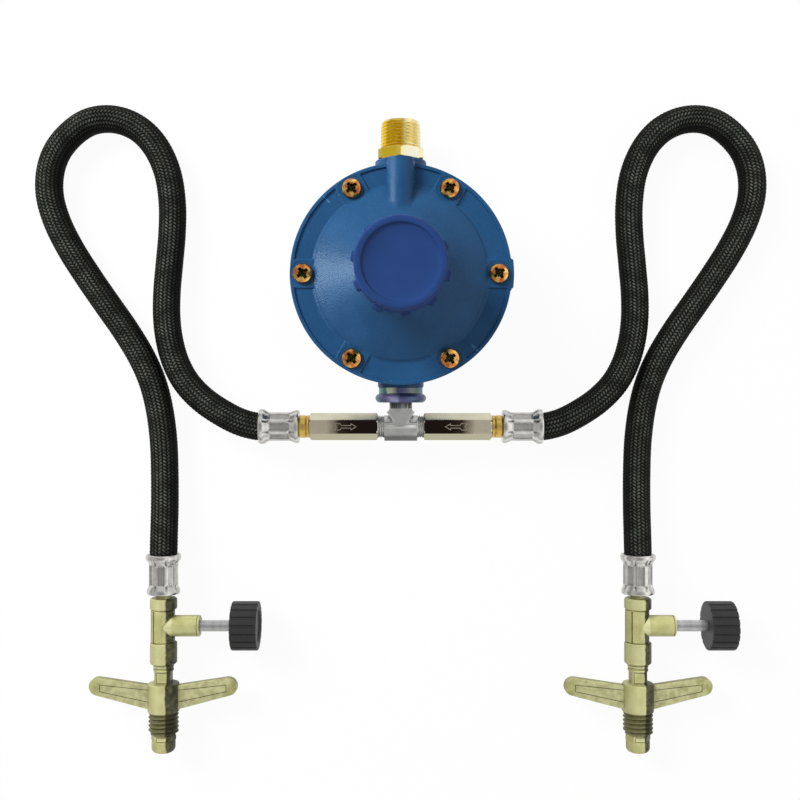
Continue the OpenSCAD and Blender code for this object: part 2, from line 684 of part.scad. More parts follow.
// Pierced disc in the mouth of the vent
module vent_screen() color("silver") translate([0, spout_y - 1.6, rib_axis_z]) rotate([-90, 0, 0])
    difference() {
        cylinder(h = 0.6, r = vent_r - fit_gap, $fn = part_fn);
        translate([0, 0, -cut]) cylinder(h = 3, r = 0.5, $fn = 16);
        for (a = [0 : 60 : 300]) rotate([0, 0, a]) translate([vent_r * 0.58, 0, -cut])
            cylinder(h = 3, r = 0.5, $fn = 16);
    }

// Angled lever: its low arm works the plunger, its long arm follows the stem
module lever_bar(a, b) {
    d = b - a;
    translate(a) rotate([0, 0, atan2(d[1], d[0])]) translate([0, -lever_w / 2])
        square([norm(d), lever_w]);
    translate(b) circle(r = lever_w / 2, $fn = 32);
}
module valve_lever() color("silver") difference() {
    translate([-lever_t / 2, 0, 0]) rotate([90, 0, 90]) linear_extrude(lever_t) {
        translate([pin_y, pin_z]) circle(r = pin_r + 1.9, $fn = 32);
        lever_bar([pin_y, pin_z], [pin_y, port_z - lever_low_r]);
        translate([pin_y, port_z]) circle(r = lever_low_r, $fn = 32);
        lever_bar([pin_y, pin_z], [lever_foot_y, pin_z]);
        lever_bar([lever_foot_y, pin_z], [lever_knee_y, tip_z]);
        lever_bar([lever_knee_y, tip_z], [-1, tip_z]);
        translate([0, tip_z]) circle(r = lever_tip_r, $fn = 32);
    }
    translate([-lever_t, pin_y, pin_z]) rotate([0, 90, 0])
        cylinder(h = 2 * lever_t, r = pin_r + run_gap, $fn = part_fn);
}
module lever_pin() color("silver") translate([-lever_t / 2 - 4.4, pin_y, pin_z]) rotate([0, 90, 0])
    cylinder(h = lever_t + 8.8, r = pin_r, $fn = part_fn);

// Plunger that carries the rubber pad, slotted for the low arm of the lever
module valve_plunger() color("goldenrod") difference() {
    toward_outlet(pad_face_y + pad_t)
        cylinder(h = plunger_back_y - pad_face_y - pad_t, r = plunger_r, $fn = part_fn);
    translate([-lever_t / 2 - 0.3, pin_y - 2, port_z - plunger_r - cut])
        cube([lever_t + 0.6, 4, plunger_r + cut + 3]);
}
module plunger_pad() color("black") toward_outlet(pad_face_y)
    cylinder(h = pad_t, r = plunger_r - 1, $fn = part_fn);

// Brass orifice screwed into the inlet
module inlet_seat() color("goldenrod") toward_outlet(seat_back_y) difference() {
    rotate_extrude($fn = part_fn) polygon([[0, 0], [seat_r, 0], [seat_r, seat_face_y - seat_back_y],
        [seat_nose_r, seat_face_y - seat_back_y], [seat_nose_r - 0.7, seat_tip_y - seat_back_y],
        [0, seat_tip_y - seat_back_y]]);
    translate([0, 0, -cut])
        cylinder(h = seat_tip_y - seat_back_y + 2 * cut, r = orifice_r, $fn = part_fn);
    translate([0, 0, -cut])
        cylinder(h = seat_face_y - seat_back_y - 3, r = feed_r, $fn = part_fn);
}

// Brass outlet nipple with a tapered gas thread
module outlet_nipple() color("gold") toward_outlet(outlet_face_y) difference() {
    union() {
        translate([0, 0, -outlet_spigot_l])
            cylinder(h = outlet_spigot_l + cut, r = spigot_r, $fn = part_fn);
        turned_hex(outlet_hex_w, outlet_hex_l, 1.4);
        translate([0, 0, outlet_hex_l - cut]) rotate_extrude($fn = body_fn)
            polygon([[0, 0], [outlet_thread_r - 0.9, 0], [outlet_thread_r - 0.9, cut + 0.8],
                [outlet_thread_r, cut + 1.6], [outlet_thread_r, cut + outlet_thread_l - 1.4],
                [outlet_thread_r - 1, cut + outlet_thread_l], [0, cut + outlet_thread_l]]);
    }
    translate([0, 0, -outlet_spigot_l - cut])
        cylinder(h = outlet_spigot_l + outlet_hex_l + outlet_thread_l + 2 * cut, r = outlet_bore_r,
            $fn = part_fn);
}

// Zinc plated adapter with a rounded collar
module inlet_adapter() color("lightseagreen") toward_outlet(collar_y) difference() {
    rotate_extrude($fn = body_fn) polygon([[feed_r, 0], [collar_r - 1.6, 0], [collar_r - 0.5, 0.6],
        [collar_r, 1.7], [collar_r, collar_l - 1.7], [collar_r - 0.5, collar_l - 0.6],
        [adapter_neck_r + 0.4, collar_l], [adapter_neck_r, collar_l],
        [adapter_neck_r, collar_l + adapter_neck_l],
        [adapter_thread_r, collar_l + adapter_neck_l],
        [adapter_thread_r, collar_l + adapter_neck_l + adapter_thread_l - 0.2],
        [feed_r, collar_l + adapter_neck_l + adapter_thread_l - 0.2]]);
    translate([0, 0, -cut])
        cylinder(h = adapter_socket + cut, r = tee_thread_r + fit_gap, $fn = part_fn);
}

// Section of the run of the tee, seen along X, and outline of its branch, seen from the cap side
module tee_section() {
    bevel = 1.8;
    polygon([[-tee_r, bevel - tee_flat_z], [bevel - tee_r, -tee_flat_z],
        [tee_top - bevel, -tee_flat_z], [tee_top, bevel - tee_flat_z],
        [tee_top, tee_flat_z - bevel], [tee_top - bevel, tee_flat_z],
        [bevel - tee_r, tee_flat_z], [-tee_r, tee_flat_z - bevel]]);
}
module branch_outline() {
    neck = stub_r - 1.6;
    ring_y = tee_r + 0.3;
    polygon([[-neck, 0], [neck, 0], [neck, tee_top], [stub_r + 1.5, ring_y],
        [stub_r + 0.3, ring_y + 0.8], [stub_r, ring_y + 1.8], [-stub_r, ring_y + 1.8],
        [-stub_r - 0.3, ring_y + 0.8], [-stub_r - 1.5, ring_y], [-neck, tee_top]]);
}

// Forged steel tee: a branch up to the adapter and a threaded end on each side
module tee() color("gray") difference() {
    union() {
        translate([-tee_half_w, tee_y, port_z]) rotate([90, 0, 90]) linear_extrude(2 * tee_half_w)
            tee_section();
        translate([0, tee_y, port_z - tee_flat_z]) linear_extrude(2 * tee_flat_z) branch_outline();
        for (s = [-1, 1]) on_arm(s, 0) rotate_extrude($fn = part_fn)
            polygon([[0, 0], [stub_r, 0], [stub_r, arm_0], [tee_thread_r, arm_0],
                [tee_thread_r, arm_chamber - 0.6], [tee_thread_r - 0.6, arm_chamber],
                [0, arm_chamber]]);
        toward_outlet(tee_y) rotate_extrude($fn = part_fn)
            polygon([[0, 0], [stub_r, 0], [stub_r, tee_drop], [tee_thread_r, tee_drop],
                [tee_thread_r, tee_drop + adapter_socket - 0.2],
                [0, tee_drop + adapter_socket - 0.2]]);
    }
    on_arm(left, -arm_chamber - cut)
        cylinder(h = 2 * arm_chamber + 2 * cut, r = feed_r, $fn = part_fn);
    toward_outlet(tee_y) cylinder(h = tee_drop + adapter_socket + cut, r = feed_r, $fn = part_fn);
}

// Hexagon check valve body, with a flat facing up
module check_body(side) color("lightgray") on_arm(side, arm_0) difference() {
    turned_hex(check_w, check_l, 0.7);
    translate([0, 0, -cut])
        cylinder(h = tee_thread_l + cut, r = tee_thread_r + fit_gap, $fn = part_fn);
    cylinder(h = check_l - cut, r = check_bore_r, $fn = part_fn);
    translate([0, 0, check_l - tail_thread_l])
        cylinder(h = tail_thread_l + cut, r = tail_thread_r + fit_gap, $fn = part_fn);
}

// Fluted poppet that is pushed onto the end of the tail by its spring
module check_poppet(side) color("goldenrod") on_arm(side, poppet_end - poppet_l) difference() {
    rotate_extrude($fn = part_fn) polygon([[0, 0], [poppet_r, 0], [poppet_r, poppet_l - 1],
        [poppet_r + 0.3, poppet_l - 1], [poppet_r + 0.3, poppet_l], [0, poppet_l]]);
    for (a = [45 : 90 : 315]) rotate([0, 0, a]) translate([poppet_r, 0, -cut])
        cylinder(h = poppet_l - 1.5 + cut, r = 0.9, $fn = 24);
}
module check_seal(side) color("black") on_arm(side, poppet_end)
    cylinder(h = poppet_seal_t, r = poppet_r + 0.3, $fn = part_fn);
module check_spring(side) color("silver") on_arm(side, arm_chamber)
    wire(coil(poppet_r, check_wire_r, poppet_end - poppet_l - arm_chamber, 7, 14), check_wire_r, 6);

// Barbed stem of a hose tail, l long from its shoulder
module barbed_stem(l) {
    barb_l = 3.4;
    cylinder(h = l, r = barb_r - 0.6, $fn = part_fn);
    for (i = [0 : floor((l - 3) / barb_l) - 1]) translate([0, 0, 2 + i * barb_l])
        cylinder(h = barb_l - 0.6, r1 = barb_r, r2 = barb_r - 0.5, $fn = part_fn);
}

// Brass tail between the check valve and the hose
module inner_tail(side) color("goldenrod") on_arm(side, arm_seat) difference() {
    union() {
        cylinder(h = tail_thread_l + cut, r = tail_thread_r, $fn = part_fn);
        translate([0, 0, tail_thread_l]) rotate_extrude($fn = part_fn)
            polygon([[0, 0], [stub_r - 0.5, 0], [stub_r, 0.7], [stub_r, tail_collar_l - 0.7],
                [stub_r - 0.5, tail_collar_l], [0, tail_collar_l]]);
        translate([0, 0, tail_thread_l + tail_collar_l]) barbed_stem(ferrule_l - 1.5);
    }
    translate([0, 0, -cut]) cylinder(h = arm_ferrule - arm_seat + ferrule_l + cut, r = tail_bore_r,
        $fn = part_fn);
}

// Crimped ferrule: eight flats squeezed between two flared ends, the mouth at the top
module ferrule() difference() {
    union() {
        cylinder(h = ferrule_l, r = crimp_w / 2 / cos(22.5), $fn = 8);
        rotate_extrude($fn = body_fn) polygon([[0, 0], [flare_r - 0.5, 0], [flare_r, 0.6],
            [flare_r, 1.8], [crimp_w / 2 - 0.1, 4.6], [0, 4.6]]);
        rotate_extrude($fn = body_fn) polygon([[0, ferrule_l - 5.6],
            [crimp_w / 2 - 0.1, ferrule_l - 5.6], [mouth_r, ferrule_l - 2.4],
            [mouth_r, ferrule_l - 0.7], [mouth_r - 0.5, ferrule_l], [0, ferrule_l]]);
    }
    translate([0, 0, -cut]) cylinder(h = 1.5 + cut, r = barb_r + fit_gap, $fn = part_fn);
    translate([0, 0, 1.2]) cylinder(h = ferrule_l, r = squeezed_r + 0.1, $fn = part_fn);
    translate([0, 0, ferrule_l - 6.2])
        cylinder(h = 6.2 + cut, r1 = squeezed_r + 0.1, r2 = hose_r + 0.6, $fn = part_fn);
}
module inner_ferrule(side) color("whitesmoke") on_arm(side, arm_ferrule) rotate([0, 0, 22.5]) ferrule();
module outer_ferrule(side) color("whitesmoke") on_tap(side) translate([0, 0, -neck_l])
    rotate([180, 0, 22.5]) ferrule();

// Braided hose with its real length between the two ferrules
module hose(side) color("black") hose_tube([for (p = hose_route) [side * p[0], p[1], p[2]]], hose_r,
    hose_bore_r, hose_sides);

// Brass tail between the hose and the tap
module outer_tail(side) color("darkkhaki") on_tap(side) difference() {
    union() {
        translate([0, 0, -neck_l]) cylinder(h = neck_l + tap_spigot_l, r = barb_r - 0.3, $fn = part_fn);
        translate([0, 0, -neck_l]) rotate([180, 0, 0]) barbed_stem(ferrule_l - 1.5);
    }
    translate([0, 0, -neck_l - ferrule_l])
        cylinder(h = neck_l + ferrule_l + tap_spigot_l + cut, r = tail_bore_r - 0.3, $fn = part_fn);
}

// Brass tap body with its two collars and the side boss of the spindle
module tap_body(side) color("darkkhaki") on_tap(side) difference() {
    union() {
        rotate_extrude($fn = body_fn) polygon([[0, 0], [tap_collar_r - 0.5, 0], [tap_collar_r, 0.5],
            [tap_collar_r, tap_z1 - 0.4], [tap_collar_r - 0.4, tap_z1], [tap_r, tap_z1],
            [tap_r, tap_z2], [tap_collar_r - 0.4, tap_z2], [tap_collar_r, tap_z2 + 0.4],
            [tap_collar_r, tap_z3 - 0.8], [tap_collar_r - 0.8, tap_z3], [0, tap_z3]]);
        translate([0, 0, tap_axis]) rotate([0, 90, 0])
            cylinder(h = side_boss_l, r = side_boss_r, $fn = body_fn);
    }
    translate([0, 0, -cut])
        cylinder(h = tap_spigot_l + cut, r = barb_r - 0.3 + fit_gap, $fn = part_fn);
    translate([passage_x - 1, 0, tap_spigot_l - cut])
        cylinder(h = tap_axis - tap_spigot_l + cut, r = passage_r, $fn = part_fn);
    translate([0, 0, tap_axis]) rotate([0, 90, 0]) {
        translate([0, 0, seat_x])
            cylinder(h = side_boss_l - seat_x + cut, r = gland_r + fit_gap, $fn = part_fn);
        translate([0, 0, -passage_x])
            cylinder(h = passage_x + seat_x + cut, r = seat_hole_r, $fn = part_fn);
    }
    translate([-passage_x, 0, tap_axis])
        cylinder(h = tap_z3 - nipple_thread_l - tap_axis + cut, r = passage_r, $fn = part_fn);
    translate([0, 0, tap_z3 - nipple_thread_l])
        cylinder(h = nipple_thread_l + cut, r = nipple_thread_r + fit_gap, $fn = part_fn);
}

// Gland and packing ring that hold and seal the spindle
module tap_gland(side) color("darkkhaki") on_spindle(side, side_boss_l - gland_l) difference() {
    cylinder(h = gland_l, r = gland_r, $fn = part_fn);
    translate([0, 0, -cut]) cylinder(h = gland_l + 2 * cut, r = spindle_r + run_gap, $fn = part_fn);
}
module tap_seal(side) color("black") on_spindle(side, side_boss_l - gland_l - packing_l) difference() {
    cylinder(h = packing_l, r = gland_r, $fn = part_fn);
    translate([0, 0, -cut]) cylinder(h = packing_l + 2 * cut, r = spindle_r + run_gap, $fn = part_fn);
}

// Needle that closes the seat, and the spindle that screws it in and out
module tap_needle(side) color("silver") on_spindle(side, 0) rotate_extrude($fn = part_fn)
    polygon([[0, seat_x - 0.8], [0.8, seat_x - 0.8], [needle_r, seat_x + 1.6], [needle_r, needle_end],
        [0, needle_end]]);
module tap_spindle(side) color("gray") on_spindle(side, needle_end + 0.1)
    cylinder(h = knob_0 + spindle_in_knob - needle_end - 0.1, r = spindle_r, $fn = part_fn);

// Ribbed plastic knob with a dished end
module tap_knob(side) color("dimgray") on_spindle(side, knob_0) difference() {
    rotate_extrude($fn = body_fn) polygon([[0, 0], [knob_r - 0.5, 0], [knob_r, 0.5],
        [knob_r, knob_l - 0.5], [knob_r - 0.5, knob_l], [knob_r - 3.6, knob_l],
        [knob_r - 4.6, knob_l - 1.2], [0, knob_l - 1.2]]);
    translate([0, 0, -cut])
        cylinder(h = spindle_in_knob + cut + 0.1, r = spindle_r + fit_gap, $fn = part_fn);
    for (i = [0 : knob_grooves - 1]) rotate([0, 0, i * 360 / knob_grooves])
        translate([knob_r + 0.35, 0, -cut]) cylinder(h = knob_l + 2 * cut, r = 0.95, $fn = 24);
}

// Outline of one wing, swept toward the tap, and of the recess inside it
module wing_outline(inset) {
    mid = hub_0 + hub_l / 2;
    tip_x = wing_reach - wing_tip_r;
    tip_y = mid - wing_rise;
    polygon([[inset > 0 ? hub_r + 0.6 : 0, mid - wing_root_w / 2 + inset],
        [tip_x + 0.4, tip_y - wing_tip_r + inset], [tip_x + 0.4, tip_y + wing_tip_r - inset],
        [inset > 0 ? hub_r + 0.6 : 0, mid + wing_root_w / 2 - inset]]);
    translate([tip_x, tip_y]) circle(r = wing_tip_r - inset, $fn = 32);
}

// Brass wing nut with a coarse male thread, turning freely on its nipple
module wing_nut(side) color("darkkhaki") on_tap(side) difference() {
    union() {
        rotate_extrude($fn = body_fn) polygon([[0, hub_0], [hub_r - 0.8, hub_0], [hub_r, hub_0 + 0.8],
            [hub_r, hub_1 - 0.5], [hub_r - 0.5, hub_1], [nut_thread_r - 0.9, hub_1],
            [nut_thread_r - 0.9, hub_1 + 0.6], [nut_thread_r, hub_1 + 1.5],
            [nut_thread_r, nut_end - 1.2], [nut_thread_r - 1, nut_end], [0, nut_end]]);
        for (m = [0, 1]) mirror([m, 0, 0]) rotate([90, 0, 0]) translate([0, 0, -wing_t / 2])
            linear_extrude(wing_t) wing_outline(0);
    }
    for (m = [0, 1]) mirror([m, 0, 0]) for (z = [-wing_t / 2 - cut, wing_t / 2 - panel_d])
        rotate([90, 0, 0]) translate([0, 0, z]) linear_extrude(panel_d + cut) wing_outline(1.6);
    translate([0, 0, hub_0 - cut])
        cylinder(h = nut_end - hub_0 + 2 * cut, r = nipple_r + run_gap, $fn = part_fn);
}

// Brass nipple that carries the wing nut and ends in a rounded nose
module cylinder_nipple(side) color("darkkhaki") on_tap(side) difference() {
    union() {
        translate([0, 0, tap_z3 - nipple_thread_l])
            cylinder(h = nipple_thread_l + cut, r = nipple_thread_r, $fn = part_fn);
        difference() {
            rotate_extrude($fn = body_fn) polygon([[0, tap_z3], [nipple_r - 0.4, tap_z3],
                [nipple_r, tap_z3 + 0.4], [nipple_r, nose_1], [nose_r, nose_1],
                [nose_r, nose_2 - 2.4], [nose_r - 0.5, nose_2 - 1], [nose_r - 1.8, nose_2],
                [0, nose_2]]);
            for (a = [0, 90]) rotate([0, 0, a]) for (s = [-1, 1])
                translate([s * (nipple_r + 1) - 1.45 * (1 - s) / 2 - 0.55 * (1 + s) / 2,
                    -nipple_r, tap_z3 + 2.5])
                    cube([2, 2 * nipple_r, nipple_free - 3.5]);
        }
        translate([0, 0, nose_0]) hex(nose_hex_w * cos(30), nose_1 - nose_0 + cut);
    }
    translate([0, 0, tap_z3 - nipple_thread_l - cut])
        cylinder(h = nose_2 - tap_z3 + nipple_thread_l + 2 * cut, r = nipple_bore_r, $fn = part_fn);
}

lower_housing();
bonnet();
bonnet_screws();
diaphragm();
diaphragm_plate();
diaphragm_stem();
relief_spring();
relief_nut();
main_spring();
spring_button();
adjusting_screw();
cap_gasket();
adjuster_cap();
vent_screen();
valve_lever();
lever_pin();
valve_plunger();
plunger_pad();
inlet_seat();
outlet_nipple();
inlet_adapter();
tee();
check_body(left);  // left_check_body
check_poppet(left);  // left_check_poppet
check_seal(left);  // left_check_seal
check_spring(left);  // left_check_spring
inner_tail(left);  // left_inner_tail
inner_ferrule(left);  // left_inner_ferrule
hose(left);  // left_hose
outer_ferrule(left);  // left_outer_ferrule
outer_tail(left);  // left_outer_tail
tap_body(left);  // left_tap_body
tap_gland(left);  // left_tap_gland
tap_seal(left);  // left_tap_seal
tap_needle(left);  // left_tap_needle
tap_spindle(left);  // left_tap_spindle
tap_knob(left);  // left_tap_knob
wing_nut(left);  // left_wing_nut
cylinder_nipple(left);  // left_cylinder_nipple
check_body(right);  // right_check_body
check_poppet(right);  // right_check_poppet
check_seal(right);  // right_check_seal
check_spring(right);  // right_check_spring
inner_tail(right);  // right_inner_tail
inner_ferrule(right);  // right_inner_ferrule
hose(right);  // right_hose
outer_ferrule(right);  // right_outer_ferrule
outer_tail(right);  // right_outer_tail
tap_body(right);  // right_tap_body
tap_gland(right);  // right_tap_gland
tap_seal(right);  // right_tap_seal
tap_needle(right);  // right_tap_needle
tap_spindle(right);  // right_tap_spindle
tap_knob(right);  // right_tap_knob
wing_nut(right);  // right_wing_nut
cylinder_nipple(right);  // right_cylinder_nipple
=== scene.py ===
import math
import bmesh
import bpy
import numpy as np
from mathutils import Matrix, Vector


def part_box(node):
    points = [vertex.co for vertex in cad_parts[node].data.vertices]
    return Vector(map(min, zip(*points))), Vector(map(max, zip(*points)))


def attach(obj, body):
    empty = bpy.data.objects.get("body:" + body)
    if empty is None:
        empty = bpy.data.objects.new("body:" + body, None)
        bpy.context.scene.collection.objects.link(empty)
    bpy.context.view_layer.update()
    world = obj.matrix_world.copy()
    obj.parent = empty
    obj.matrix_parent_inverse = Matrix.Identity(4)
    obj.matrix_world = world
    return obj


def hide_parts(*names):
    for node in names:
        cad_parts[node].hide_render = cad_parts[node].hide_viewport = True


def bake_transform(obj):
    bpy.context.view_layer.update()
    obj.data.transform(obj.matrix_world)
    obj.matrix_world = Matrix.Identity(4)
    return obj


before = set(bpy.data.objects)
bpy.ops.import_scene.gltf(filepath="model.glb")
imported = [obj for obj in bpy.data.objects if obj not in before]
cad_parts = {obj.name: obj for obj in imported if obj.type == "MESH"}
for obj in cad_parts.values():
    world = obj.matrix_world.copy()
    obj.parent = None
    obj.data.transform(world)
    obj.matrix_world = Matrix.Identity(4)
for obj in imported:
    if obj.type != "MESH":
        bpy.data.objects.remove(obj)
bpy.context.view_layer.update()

# Studio and camera.
# The assembly lies on a white table and is seen from straight above, a little below its middle.
# Soft light falls from the upper left, and the sky over the lens is dark, as it is round any camera.
MM = 0.001
LENS_MM = 46.08
SENSOR_MM = 36
CAMERA_AT = (-0.4, -65.1, 570)
CAMERA_REACH = 20
LAMPS_AIM = (0, -0.06, 0.02)
SKY_STOPS = ((0.0, 0.55), (0.3, 0.95), (0.7, 0.88), (0.9, 0.5), (1.0, 0.36))
SKY_LEAN = (-0.8, 0.8, 0.6, 1.3)
SKY_LIGHT = 0.42
FLOOR_HALF = 1.6
FLOOR_Z = -0.0002
FLOOR_GREY = 0.8
FLOOR_NEAR, FLOOR_FAR = 0.35, FLOOR_HALF * 0.9
FLOOR_DIM = 0.95


def in_scene(made):
    """Puts an object into the scene and hands it back."""
    bpy.context.scene.collection.objects.link(made)
    return made


camera = in_scene(bpy.data.objects.new("camera", bpy.data.cameras.new("camera")))
camera.data.lens = LENS_MM
camera.data.sensor_width = SENSOR_MM
camera.data.clip_end = CAMERA_REACH
camera.location = Vector(CAMERA_AT) * MM
bpy.context.scene.camera = camera
bpy.context.scene.view_settings.view_transform = "Standard"


def area_lamp(name, place, size, watts, mirrored=False):
    """A soft box aimed at the middle of the assembly; unless mirrored, glossy things show the sky instead."""
    lamp = bpy.data.lights.new(name, "AREA")
    lamp.size, lamp.energy = size, watts
    holder = in_scene(bpy.data.objects.new(name, lamp))
    holder.location = place
    aim = Vector(LAMPS_AIM) - holder.location
    holder.rotation_euler = aim.to_track_quat("-Z", "Y").to_euler()
    holder.visible_glossy = mirrored
    return holder


def set_range(node, low, high, out_low, out_high):
    """Makes a Map Range node turn low..high into out_low..out_high."""
    for setting, value in (("From Min", low), ("From Max", high), ("To Min", out_low), ("To Max", out_high)):
        node.inputs[setting].default_value = value


area_lamp("key_lamp", place=(-1.2, 0.9, 1.1), size=0.8, watts=48)
area_lamp("fill_lamp", place=(1.2, -0.2, 1.1), size=1.2, watts=4)

sky = bpy.data.worlds.new("sky")
sky.use_nodes = True
bpy.context.scene.world = sky
sky_nodes, sky_links = sky.node_tree.nodes, sky.node_tree.links
look = sky_nodes.new("ShaderNodeTexCoord")
height = sky_nodes.new("ShaderNodeSeparateXYZ")
sky_links.new(look.outputs["Generated"], height.inputs[0])
band = sky_nodes.new("ShaderNodeValToRGB")
band.color_ramp.interpolation = "EASE"
for spot, level in SKY_STOPS[1:-1]:
    band.color_ramp.elements.new(spot)
for stop, (spot, level) in zip(band.color_ramp.elements, SKY_STOPS):
    stop.position, stop.color = spot, (level, level, level, 1)
sky_links.new(height.outputs["Z"], band.inputs["Fac"])
lean = sky_nodes.new("ShaderNodeMapRange")
set_range(lean, *SKY_LEAN)
sky_links.new(height.outputs["X"], lean.inputs["Value"])
sky_room = sky_nodes.new("ShaderNodeBackground")
sky_links.new(band.outputs["Color"], sky_room.inputs["Color"])
sky_links.new(lean.outputs["Result"], sky_room.inputs["Strength"])
sky_light = sky_nodes["Background"]
sky_light.inputs["Color"].default_value = (1, 1, 1, 1)
sky_light.inputs["Strength"].default_value = SKY_LIGHT
sky_white = sky_nodes.new("ShaderNodeBackground")
sky_white.inputs["Color"].default_value = (1, 1, 1, 1)
sky_path = sky_nodes.new("ShaderNodeLightPath")
sky_mirror = sky_nodes.new("ShaderNodeMixShader")
sky_links.new(sky_path.outputs["Is Glossy Ray"], sky_mirror.inputs[0])
sky_links.new(sky_light.outputs[0], sky_mirror.inputs[1])
sky_links.new(sky_room.outputs[0], sky_mirror.inputs[2])
sky_mix = sky_nodes.new("ShaderNodeMixShader")
sky_links.new(sky_path.outputs["Is Camera Ray"], sky_mix.inputs[0])
sky_links.new(sky_mirror.outputs[0], sky_mix.inputs[1])
sky_links.new(sky_white.outputs[0], sky_mix.inputs[2])
sky_links.new(sky_mix.outputs[0], sky_nodes["World Output"].inputs["Surface"])

floor_mesh = bpy.data.meshes.new("floor")
floor_mesh.from_pydata(
    [(x * FLOOR_HALF, y * FLOOR_HALF, FLOOR_Z) for x, y in ((-1, -1), (1, -1), (1, 1), (-1, 1))],
    [], [(0, 1, 2, 3)])
floor = in_scene(bpy.data.objects.new("floor", floor_mesh))
table_paint = bpy.data.materials.new("table_paint")
table_paint.use_nodes = True
paint_nodes, paint_links = table_paint.node_tree.nodes, table_paint.node_tree.links
paint_nodes["Principled BSDF"].inputs["Base Color"].default_value = (FLOOR_GREY, FLOOR_GREY, FLOOR_GREY, 1)
paint_nodes["Principled BSDF"].inputs["Roughness"].default_value = 0.9
table_glow = paint_nodes.new("ShaderNodeEmission")
table_path = paint_nodes.new("ShaderNodeLightPath")
table_seen = paint_nodes.new("ShaderNodeMath")
table_seen.operation = "MAXIMUM"
table_share = paint_nodes.new("ShaderNodeMath")
table_share.operation = "MULTIPLY"
table_spot = paint_nodes.new("ShaderNodeTexCoord")
table_reach = paint_nodes.new("ShaderNodeVectorMath")
table_reach.operation = "LENGTH"
table_fade = paint_nodes.new("ShaderNodeMapRange")
set_range(table_fade, FLOOR_NEAR, FLOOR_FAR, FLOOR_DIM, 1.0)
table_mix = paint_nodes.new("ShaderNodeMixShader")
paint_links.new(table_path.outputs["Is Camera Ray"], table_seen.inputs[0])
paint_links.new(table_path.outputs["Is Glossy Ray"], table_seen.inputs[1])
paint_links.new(table_spot.outputs["Object"], table_reach.inputs[0])
paint_links.new(table_reach.outputs["Value"], table_fade.inputs["Value"])
paint_links.new(table_seen.outputs[0], table_share.inputs[0])
paint_links.new(table_fade.outputs["Result"], table_share.inputs[1])
paint_links.new(table_share.outputs[0], table_mix.inputs[0])
paint_links.new(paint_nodes["Principled BSDF"].outputs[0], table_mix.inputs[1])
paint_links.new(table_glow.outputs[0], table_mix.inputs[2])
paint_links.new(table_mix.outputs[0], paint_nodes["Material Output"].inputs["Surface"])
floor_mesh.materials.append(table_paint)

# Lower housing.
# The die cast half that holds the gas: a round bowl with a screw flange, an outlet boss and an
# inlet boss. It is cast, so every edge is soft, and baked with the same blue enamel as the bonnet.
WELD = 0.002 * MM
CAST_VOXEL = 0.75 * MM
CAST_SMOOTHING = 4
CAST_KEEP = 0.3


def srgb(red, green, blue):
    """A colour as a colour picker shows it, 0 to 255, in the renderer's own linear units."""
    steps = (c / 255 for c in (red, green, blue))
    return tuple(c / 12.92 if c <= 0.04045 else ((c + 0.055) / 1.055) ** 2.4 for c in steps) + (1,)


